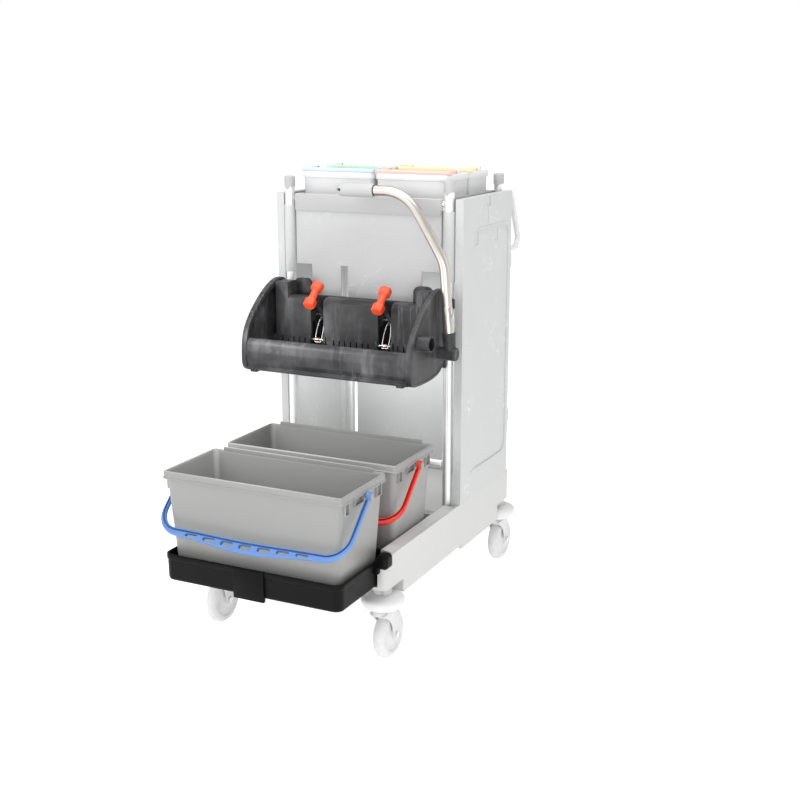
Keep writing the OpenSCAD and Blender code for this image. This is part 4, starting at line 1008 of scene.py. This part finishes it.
# Lever
LEVER_X = 266
LEVER_TOP = 1078
LEVER_R = 12.5
LEVER_LEAN = radians(4.6)
KNEE_LEAN = radians(31)
KNEE_Z = 910
BEND_R = 105
LEVER_START = 16
LEVER_JOINT = 116
SLEEVE_R = LEVER_R + 0.9
LEVER_SLEEVE = ((LEVER_R - 0.5, 40), (SLEEVE_R, 40), (SLEEVE_R, LEVER_JOINT - 1),
                (SLEEVE_R - 0.4, LEVER_JOINT), (LEVER_R - 0.5, LEVER_JOINT + 0.6))
SLEEVE_STUD = ((0, 0), (4.2, 0), (4.2, 1.2), (3.4, 2.2), (1.8, 2.8), (0, 3))
ELBOW_COLLAR = ((0, 0), (14.6, 0), (15, 14), (15.6, 34), (16.6, 44), (17.2, 48), (17.2, 51), (16.6, 52),
                (14.6, 52), (14, 51.2), (14, 40), (0, 40))
ELBOW_HUB = ((0, 0), (13.5, 0), (14.5, 1), (15.4, 6), (16.4, 22), (17, 40), (17, 45.5), (16, 47), (14, 47.7),
             (12.5, 47.2), (0, 46.9))
LOCK_BUTTON = ((0, 0), (3.5, 0), (3.5, 7), (3.1, 8), (2.2, 8.7), (1.2, 8.95), (0, 9))
GRIP_BORE = 12.7
GRIP_BAND = ((12.6, 0), (13.3, 0), (13.6, 0.6), (13.6, 1.8), (13.3, 2.4), (12.6, 2.4))


def lever():
    """Bent lever tube in a sleeve, with a dark elbow and its locking button."""
    y, z = SHAFT
    knee_x = LEVER_X - (KNEE_Z - z) * tan(LEVER_LEAN)
    corner_x = knee_x - (LEVER_TOP - KNEE_Z) * tan(KNEE_LEAN)
    grip_x = box_of("lever_grip")[0].x
    start = (LEVER_X - LEVER_START * tan(LEVER_LEAN), y, z + LEVER_START)
    path = [start, (knee_x, y, KNEE_Z), (corner_x, y, LEVER_TOP), (grip_x + 30, y, LEVER_TOP)]
    arm = tube([path], LEVER_R, "lever_steel", BEND_R, 36, 22)
    settle("lever_arm", arm, "lever_steel", ("lever_tube",))
    lean = shift(LEVER_X, y, z) @ Matrix.Rotation(-LEVER_LEAN, 4, "Y")
    sleeve = turned(LEVER_SLEEVE, lean, 40, closed=True)
    stud = turned(SLEEVE_STUD, lean @ along_x(SLEEVE_R - 0.3, -3, 95), 20)
    settle("lever_sleeve", joined(sleeve, stud), "lever_steel", (), "lever")
    hub = turned(ELBOW_HUB, along_x(CHEEK_OUT + 0.3, y, z), 40)
    elbow = shaped(hub, turned(ELBOW_COLLAR, lean, 40), cut=False)
    settle("lever_socket", elbow, "press_plastic", ("lever_elbow",))
    low, high = box_of("lever_button")
    mid = (low + high) / 2
    turn = shift(mid.x, high.y, mid.z) @ spin(90, "X")
    settle("lock_button", turned(LOCK_BUTTON, turn, 24), "press_plastic", ("lever_button",))


def grip():
    """Pale hand grip with a hanging eye, and a dark band where the tube goes in."""
    y = SHAFT[0]
    low, high = box_of("lever_grip")
    length = high.x - low.x
    r = (high.z - low.z) / 2
    shell = [(0, 0), (r * 0.42, 0.9), (r * 0.72, 4.2), (r * 0.9, 9), (r * 0.98, 15), (r, 24), (r * 0.99, 60),
             (r * 0.96, length - 6), (r * 0.93, length - 1.5), (r * 0.88, length), (GRIP_BORE, length),
             (GRIP_BORE, 60), (0, 60)]
    handle = turned(shell, along_x(low.x, y, LEVER_TOP), 44)
    eye = [(p.x + low.x + 11.5, p.y + LEVER_TOP) for p in ring(5.2, 3.4, 3.3, 0)]
    settle("hand_grip", shaped(handle, prism(eye, y - 40, y + 40, "y")), "grip_plastic", ("lever_grip",))
    band = turned(GRIP_BAND, along_x(high.x, y, LEVER_TOP), 40, closed=True)
    settle("grip_band", band, "press_plastic", (), "lever")


# Base and castors
SHOULDER = ((225, 264.5), (255, 264.5), (255, 270), (229, 275), (225, 273))
SHOULDER_R = (1, 0, 0, 3, 2)
SHOULDER_Y = (-376, -16)
BUMPER_R = 52
BUMPER = ((0, 0), (33, 0), (40, 1.8), (45.5, 7), (49.6, 14), (51.8, 20), (51.9, 24), (50.4, 28), (46, 31.4),
          (38, 34.4), (26, 36.6), (0, 36.9))
CASTOR_TRAIL = 29
CROWN = ((0, 121), (27, 121), (27, 125), (26, 130), (22, 132.6), (20.4, 133), (20, 136), (7.2, 136),
         (7, 137))
STEM_R = 7
FORK_LEG = ((-27, 128), (27, 128), (37, 108), (41.5, 86), (42, 60), (37, 50), (29, 47), (21, 50), (16.5, 58),
            (15, 74), (6, 96), (-12, 112))
FORK_LEG_X = (18, 22)
FORK_WEB = ((-20, -26, 119), (20, 25, 124))
# Half of the wheel and of its bolt, as (radius, place along the axle)
WHEEL_HALF = ((4.1, -17.7), (14, -17.7), (15, -17), (15.4, -14.6), (17, -13.8), (38, -13.4), (40.6, -14),
              (41.4, -15.2), (43, -16), (50, -15.6), (54.5, -13), (58, -8.5), (59.9, -6))
BOLT_HALF = ((0, -27), (6.2, -27), (7.6, -26), (8, -23.6), (7.6, -22), (4, -22))


def base():
    """Moulded base with eased edges, and a sloped shoulder along each side of its well."""
    settle("base_moulding", eased(copy_of("base"), 3.2, 40, 3), "base_plastic", ("base",))
    shoulder = prism(filleted(SHOULDER, SHOULDER_R), *SHOULDER_Y, "y")
    settle("base_shoulders", joined(shoulder, mirrored(shoulder)), "base_plastic", (), body_of("base"))


def bumpers():
    """Bowl-shaped bumper discs over the castors."""
    places = corner_places("castor_bumpers", BUMPER_R)
    discs = spread(turned(BUMPER, steps=48), places, "bumper_plastic")
    settle("bumper_discs", discs, "bumper_plastic", ("castor_bumpers",))


def castor(corner):
    """Swivel castor: crown and curved legs, a dished wheel and an axle bolt."""
    fork_node, wheel_node = "castor_fork_" + corner, "castor_wheel_" + corner
    stem_top = box_of(fork_node)[1].z
    low, high = box_of(wheel_node)
    x, *axle = (low + high) / 2
    crown = turned((*CROWN, (STEM_R, stem_top), (0, stem_top)), steps=44)
    leg = eased(prism(smooth_outline(FORK_LEG, 3), *FORK_LEG_X), 1.1, 50)
    fork = joined(crown, eased(block(*FORK_WEB), 1.6), mirrored(leg), leg)
    fork.transform(shift(x, axle[0] - CASTOR_TRAIL, 0))
    settle("castor_yoke_" + corner, fork, "fork_steel", (fork_node,))
    wheel = turned(doubled(WHEEL_HALF), along_x(x, *axle), 64, closed=True)
    settle("castor_roller_" + corner, wheel, "wheel_rubber", (wheel_node,))
    bolt = turned(doubled(BOLT_HALF), along_x(x, *axle), 28)
    settle("castor_bolt_" + corner, bolt, "bright_steel", ("castor_axle_" + corner,))


# Cabinet
CAP_R = 14.1
CAP_STEPS = 40
CAP_TONGUE = 9
TONGUE_SPAN = 0.7
CAP_FORM = ((12.6, 0), (CAP_R, 0), (CAP_R, 6), (CAP_R, 23.5), (CAP_R - 0.8, 25.6), (CAP_R - 2.4, 26.8),
            (CAP_R - 6, 27))


def post_caps():
    """Caps with a small pointed tongue at the front of each."""
    rings = []
    for r, h in CAP_FORM:
        loop = []
        for i in range(CAP_STEPS):
            a = 2 * pi * i / CAP_STEPS
            off = abs((a - 1.5 * pi + pi) % (2 * pi) - pi)
            tongue = CAP_TONGUE * max(0.0, 1 - off / TONGUE_SPAN) if h == 0 else 0
            loop.append(Vector((r * cos(a), r * sin(a), h - tongue)))
        rings.append(loop)
    caps = spread(loft(rings), corner_places("post_caps", CAP_R), "cap_plastic")
    settle("post_tops", caps, "cap_plastic", ("post_caps",))


LOOP_R = 8
LOOP_COLLAR = ((0, 0), (9.5, 0), (11, 1), (11, 5), (9.6, 6.4), (8, 7))


def push_loops():
    """Bent loops behind the rear posts, each with two collars."""
    low, high = box_of("push_loops")
    x = high.x - LOOP_R
    front, back, top, bottom = low.y, high.y - LOOP_R, high.z - LOOP_R, low.z + LOOP_R
    path = [(front - 2, top), (front + 80, top), (back, bottom + 23), (back - 18, bottom),
            (front - 2, bottom)]
    loops = tube([[(sx * x, y, z) for y, z in path] for sx in BOTH], LOOP_R, "bumper_plastic", 20, 20, 8)
    collar = turned(LOOP_COLLAR, along_y(0, 0, 0), 28)
    places = [(sx * x, front - 1, z) for sx in BOTH for z in (top, bottom)]
    collars = spread(collar, places, "bumper_plastic")
    settle("push_bows", joined(loops, collars), "bumper_plastic", ("push_loops",))


DOOR_FACE = 266
DOOR_BACK = 324
DOOR_WALL = 4
# Sunk field of the door: its middle and half sizes as (y, z), corner radius and depth
DOOR_SUNK = ((187, 662), (119, 316), 34, 2.0)
DOOR_POCKETS = (
    ((76, 937), (100, 972), 3.5), ((207, 937), (232, 970), 3.5), ((147, 1031), (175, 1060), 2.8))
DOOR_TONGUE = ((158.5, 980), (163.5, 1032))
DOOR_OUTLINE = ((69, 930), (69, 978), (306, 978), (306, 346), (64, 346))
DOOR_BEAD_R = 2.6
HINGE = (256, 337)
HINGE_RISES = (150, 585)
HINGE_HALF = 6.6
HINGE_KNUCKLE = ((4.3, 0), (6.4, 0), (7, 0.6), (7, 29.4), (6.4, 30), (4.3, 30))


def door():
    """Side door: a hollow pan with a beaded field, pockets and hinge knuckles."""
    low, high = box_of("side_door")
    face, back, wall = DOOR_FACE, DOOR_BACK, DOOR_WALL
    pan = block((low.x, low.y, low.z), (face, back, high.z))
    hollow = block((low.x - 2, low.y + wall, low.z + wall), (face - wall, back - wall, high.z - wall))
    mid, half, r, deep = DOOR_SUNK
    field = []
    for inset, x in ((deep * 1.4, face - deep), (0, face), (0, face + 2)):
        rim = ring(half[0] - inset, half[1] - inset, r - inset, x, mid)
        field.append([Vector((p.z, p.x, p.y)) for p in rim])
    pockets = [block((face - sunk, *near), (face + 3, *far)) for near, far, sunk in DOOR_POCKETS]
    parts = [eased(shaped(pan, hollow, loft(field), *pockets), 1.1, 50)]
    near, far = DOOR_TONGUE
    parts.append(eased(block((face - 1, *near), (face + 1.8, *far)), 1.2))
    parts.append(tube([[(face - 0.6, *p) for p in DOOR_OUTLINE]], DOOR_BEAD_R, "panel_plastic", r, 12))
    x, y = HINGE
    for rise in HINGE_RISES:
        z = low.z + rise
        parts.append(turned(HINGE_KNUCKLE, shift(x, y, z), 28, closed=True))
        strap = block((x - HINGE_HALF, back - 1, z + 0.4), (x + HINGE_HALF, y - 5, z + 29.6))
        parts.append(eased(strap, 1))
    settle("door_leaf", joined(*parts), "panel_plastic", ("side_door",), smooth=20)


PANEL_BAND_H = 42
SCREW_HEAD = ((0, 0), (4.6, 0), (5.6, 0.8), (5.6, 2.2), (4.6, 4), (2.6, 5), (0, 5.3))


def panel_band():
    """Darker band along the top of the front panel, between the posts."""
    low, high = box_of("front_panel")
    band = block((low.x + 1, low.y - 1.4, high.z - PANEL_BAND_H), (high.x - 1, low.y + 0.5, high.z))
    settle("front_panel_band", eased(band, 0.6), "cap_plastic", (), body_of("front_panel"))


def rail_screws():
    """Screw heads where the upper rails meet the posts."""
    head = turned(SCREW_HEAD, along_y(0, 0, 0) @ spin(180, "X"), 24)
    low, high = box_of("cross_rails")
    places = [(sx * (high.x - 6), low.y + 12.1, high.z - 10) for sx in BOTH]
    settle("rail_screws", spread(head, places, "bright_steel"), "bright_steel", (), "chassis")


# Nodes that keep their own shape: the slot of each, and how far its edges are eased
DRESSED = {
    "front_posts": ("post_steel", 0.0),
    "rear_posts": ("post_steel", 0.0),
    "post_sleeves": ("panel_plastic", 0.8),
    "cross_rails": ("post_steel", 1.0),
    "front_panel": ("panel_plastic", 1.2),
    "back_panel": ("panel_plastic", 1.2),
    "left_panel": ("panel_plastic", 1.3),
    "top_tray": ("panel_plastic", 1.0),
    "door_hinges": ("bright_steel", 0.6),
    "press_floor": ("press_plastic", 0.8),
    "press_back": ("press_plastic", 1.6),
    "press_bolts": ("bright_steel", 0.5),
    "press_shaft": ("bright_steel", 0.6),
    "latch_arm_left": ("press_plastic", 1.2),
    "latch_arm_right": ("press_plastic", 1.2),
}


def dressed(node, slot, easing):
    """A node's own shape with its edges eased."""
    body = copy_of(node)
    if easing:
        body = eased(body, easing, 40)
    settle(node + "_skin", body, slot, (node,))


# Caddies
CADDY_SLOTS = {"fl": "handle_blue", "fr": "handle_red", "rl": "handle_green", "rr": "handle_yellow"}
CADDY_R = 13
# Inset of the skin with its rise from the floor, the rim, and the floor again
CADDY_FOOT = ((8, 0), (5, 1), (4.2, 4))
CADDY_RIM = ((4, -18), (3.6, -16.6), (0.5, -16), (0, -15), (0, -1.6), (0.5, -0.5), (1.6, 0), (5.4, 0),
             (6.5, -0.5), (7, -1.6))
CADDY_INSIDE = ((7, 6), (9, 3.4), (12, 3))
LUG_RISE = 11.3
LUG_HALF = 7
HANDLE_PIN = ((0, 0), (2.5, 0), (2.5, 4.4), (2, 4.8), (0, 4.8))
HANDLE_PIN_L = 4.8
HANDLE_ARM = 10
HANDLE_BAR = 14
HANDLE_HALF_T = 4.5
HANDLE_ROUNDS = (2, 1, 2, 5, 5, 2, 1, 2, 2, 4, 4, 2)
HANDLE_TIP = ((-9, -3), (7, -3), (7, 1.5), (-1, 6.4), (-5, 6.4))


def caddy(corner):
    """Small caddy with a banded rim and two lugs, and its coloured handle with raised tips."""
    low, high = box_of("caddy_" + corner)
    mid = ((low.x + high.x) / 2, (low.y + high.y) / 2)
    half_x, half_y = (high.x - low.x) / 2, (high.y - low.y) / 2
    top = high.z - LUG_RISE

    def level(inset, z):
        return ring(half_x - inset, half_y - inset, max(CADDY_R - inset, LEAST_R), z, mid, 5)

    skin = stacked((level, low.z, CADDY_FOOT), (level, top, CADDY_RIM), (level, low.z, CADDY_INSIDE))
    right = eased(block((half_x - 6.5, -LUG_HALF, -2), (half_x - 0.5, LUG_HALF, LUG_RISE)), 1.4)
    lugs = joined(mirrored(right), right)
    lugs.transform(shift(*mid, top))
    settle("caddy_box_" + corner, joined(skin, lugs), "caddy_plastic", ("caddy_" + corner,))

    node = "caddy_handle_" + corner
    low, high = box_of(node)
    out = (high.x - low.x) / 2 - HANDLE_PIN_L
    inner = out - HANDLE_ARM
    front = low.y - mid[1]
    bar = front + HANDLE_BAR
    bow = [(-out, 2), (-out, bar + 4), (-half_x, bar), (-half_x, front), (half_x, front), (half_x, bar),
           (out, bar + 4), (out, 2), (inner, 2), (inner, bar), (-inner, bar), (-inner, 2)]
    strap = prism(filleted(bow, HANDLE_ROUNDS, 4), -HANDLE_HALF_T, HANDLE_HALF_T, "z")
    tip = eased(prism(HANDLE_TIP, -5, 5), 0.9)
    tip.transform(shift(out - 5, 0, 0))
    other_tip = mirrored(tip)
    pin = turned(HANDLE_PIN, along_x(out, 0, 0), 16)
    whole = joined(eased(strap, 1.4, 50), tip, other_tip, pin, mirrored(pin))
    whole.transform(shift(*mid, (low.z + high.z) / 2))
    settle("caddy_bow_" + corner, whole, CADDY_SLOTS[corner], (node,))


# Making of the pieces
for bucket_node in ("bucket_front", "bucket_rear"):
    bucket(bucket_node)
bail("bail_front", "bucket_front", "bail_blue")
bail("bail_rear", "bucket_rear", "bail_red")
tray()
tray_clips()
for side in SIDES:
    cheek(side)
front_bar()
moving_plate()
latch_pins()
for side in SIDES:
    knob(side)
    wire(side)
lever()
grip()
base()
bumpers()
for corner in CORNERS:
    castor(corner)
    caddy(corner)
post_caps()
push_loops()
door()
panel_band()
rail_screws()
for node, (slot, easing) in DRESSED.items():
    dressed(node, slot, easing)

# Floor, light and camera, in metres
FLOOR_REACH = 30
FLOOR_GLOW = 0.55
DOME = 0.62
# Name, place, target, size, power, and whether the camera sees it
LAMPS = (
    ("key", (-1.4, -3.1, 2.3), (0, -0.1, 0.6), (2.2, 2.2), 46, True),
    ("front_fill", (1.7, -2.9, 0.9), (0, 0.1, 0.45), (1.8, 1.2), 25, True),
    ("right_rear", (2.4, 1.4, 1.7), (0.25, 0.2, 0.6), (1.2, 1.6), 9, True),
    ("top", (0.2, -0.4, 3.4), (0, 0, 0.5), (2.4, 2.4), 64, True),
    ("buckets", (-0.18, -0.36, 0.78), (-0.06, -0.25, 0.3), (0.24, 0.16), 1.3, False),
    ("cabinet", (0, 0.11, 0.62), (0, 0.38, 0.40), (0.38, 0.12), 1.1, False),
    ("cabinet_head", (0, 0.11, 0.66), (0, 0.34, 0.90), (0.38, 0.12), 0.5, False),
)
CAMERA_PLACE = (1.4642, -2.7484, 1.3159)
CAMERA_PITCH = 76
CAMERA_AZIMUTH = 26
CAMERA_LENS = 55.9
CAMERA_SENSOR = 36


def floor():
    """Wide pale floor that glows a little, as a lit sweep does."""
    shop = Finish("floor")
    tone = shop.tint(shop.noise(1.5), linear(236, 236, 236), linear(240, 240, 240))
    material = shop.finish(tone, 0.7 + 0.1 * shop.noise(3), shop.noise(40), depth=0.0001, strength=0.1,
                           Emission_Color=(1, 1, 1, 1), Emission_Strength=FLOOR_GLOW)
    corners = [(sx * FLOOR_REACH, sy * FLOOR_REACH, 0) for sx, sy in ((-1, -1), (1, -1), (1, 1), (-1, 1))]
    mesh = bpy.data.meshes.new("floor")
    mesh.from_pydata(corners, [], [(0, 1, 2, 3)])
    mesh.materials.append(material)
    obj = placed("floor", mesh)


def sky():
    """White to the camera, and a softer white dome for light and reflections."""
    world = bpy.data.worlds.new("studio")
    bpy.context.scene.world = world
    world.use_nodes = True
    world.node_tree.nodes.clear()
    shop = Bench(world.node_tree)
    seen = shop.node("ShaderNodeLightPath", out=0)
    white = shop.node("ShaderNodeBackground", {"Color": (1, 1, 1, 1), "Strength": 1.0})
    dome = shop.node("ShaderNodeBackground", {"Color": (1, 1, 1, 1), "Strength": DOME})
    mixed = shop.node("ShaderNodeMixShader", {0: seen, 1: dome, 2: white})
    shop.node("ShaderNodeOutputWorld", {"Surface": mixed})


def softbox(name, place, target, size, power, seen):
    """Area light aimed at a point."""
    lamp = bpy.data.lights.new(name, "AREA")
    lamp.shape = "RECTANGLE"
    lamp.size, lamp.size_y = size
    lamp.energy = power
    obj = placed(name, lamp)
    obj.location = place
    obj.rotation_euler = (Vector(target) - Vector(place)).to_track_quat("-Z", "Y").to_euler()
    obj.visible_camera = seen


def viewpoint():
    """The camera where the photograph was taken from."""
    camera = bpy.data.cameras.new("camera")
    camera.lens = CAMERA_LENS
    camera.sensor_width = CAMERA_SENSOR
    viewer = placed("camera", camera)
    viewer.location = CAMERA_PLACE
    viewer.rotation_euler = (radians(CAMERA_PITCH), 0, radians(CAMERA_AZIMUTH))
    bpy.context.scene.camera = viewer
    bpy.context.scene.view_settings.view_transform = "Standard"


floor()
sky()
for lamp in LAMPS:
    softbox(*lamp)
viewpoint()
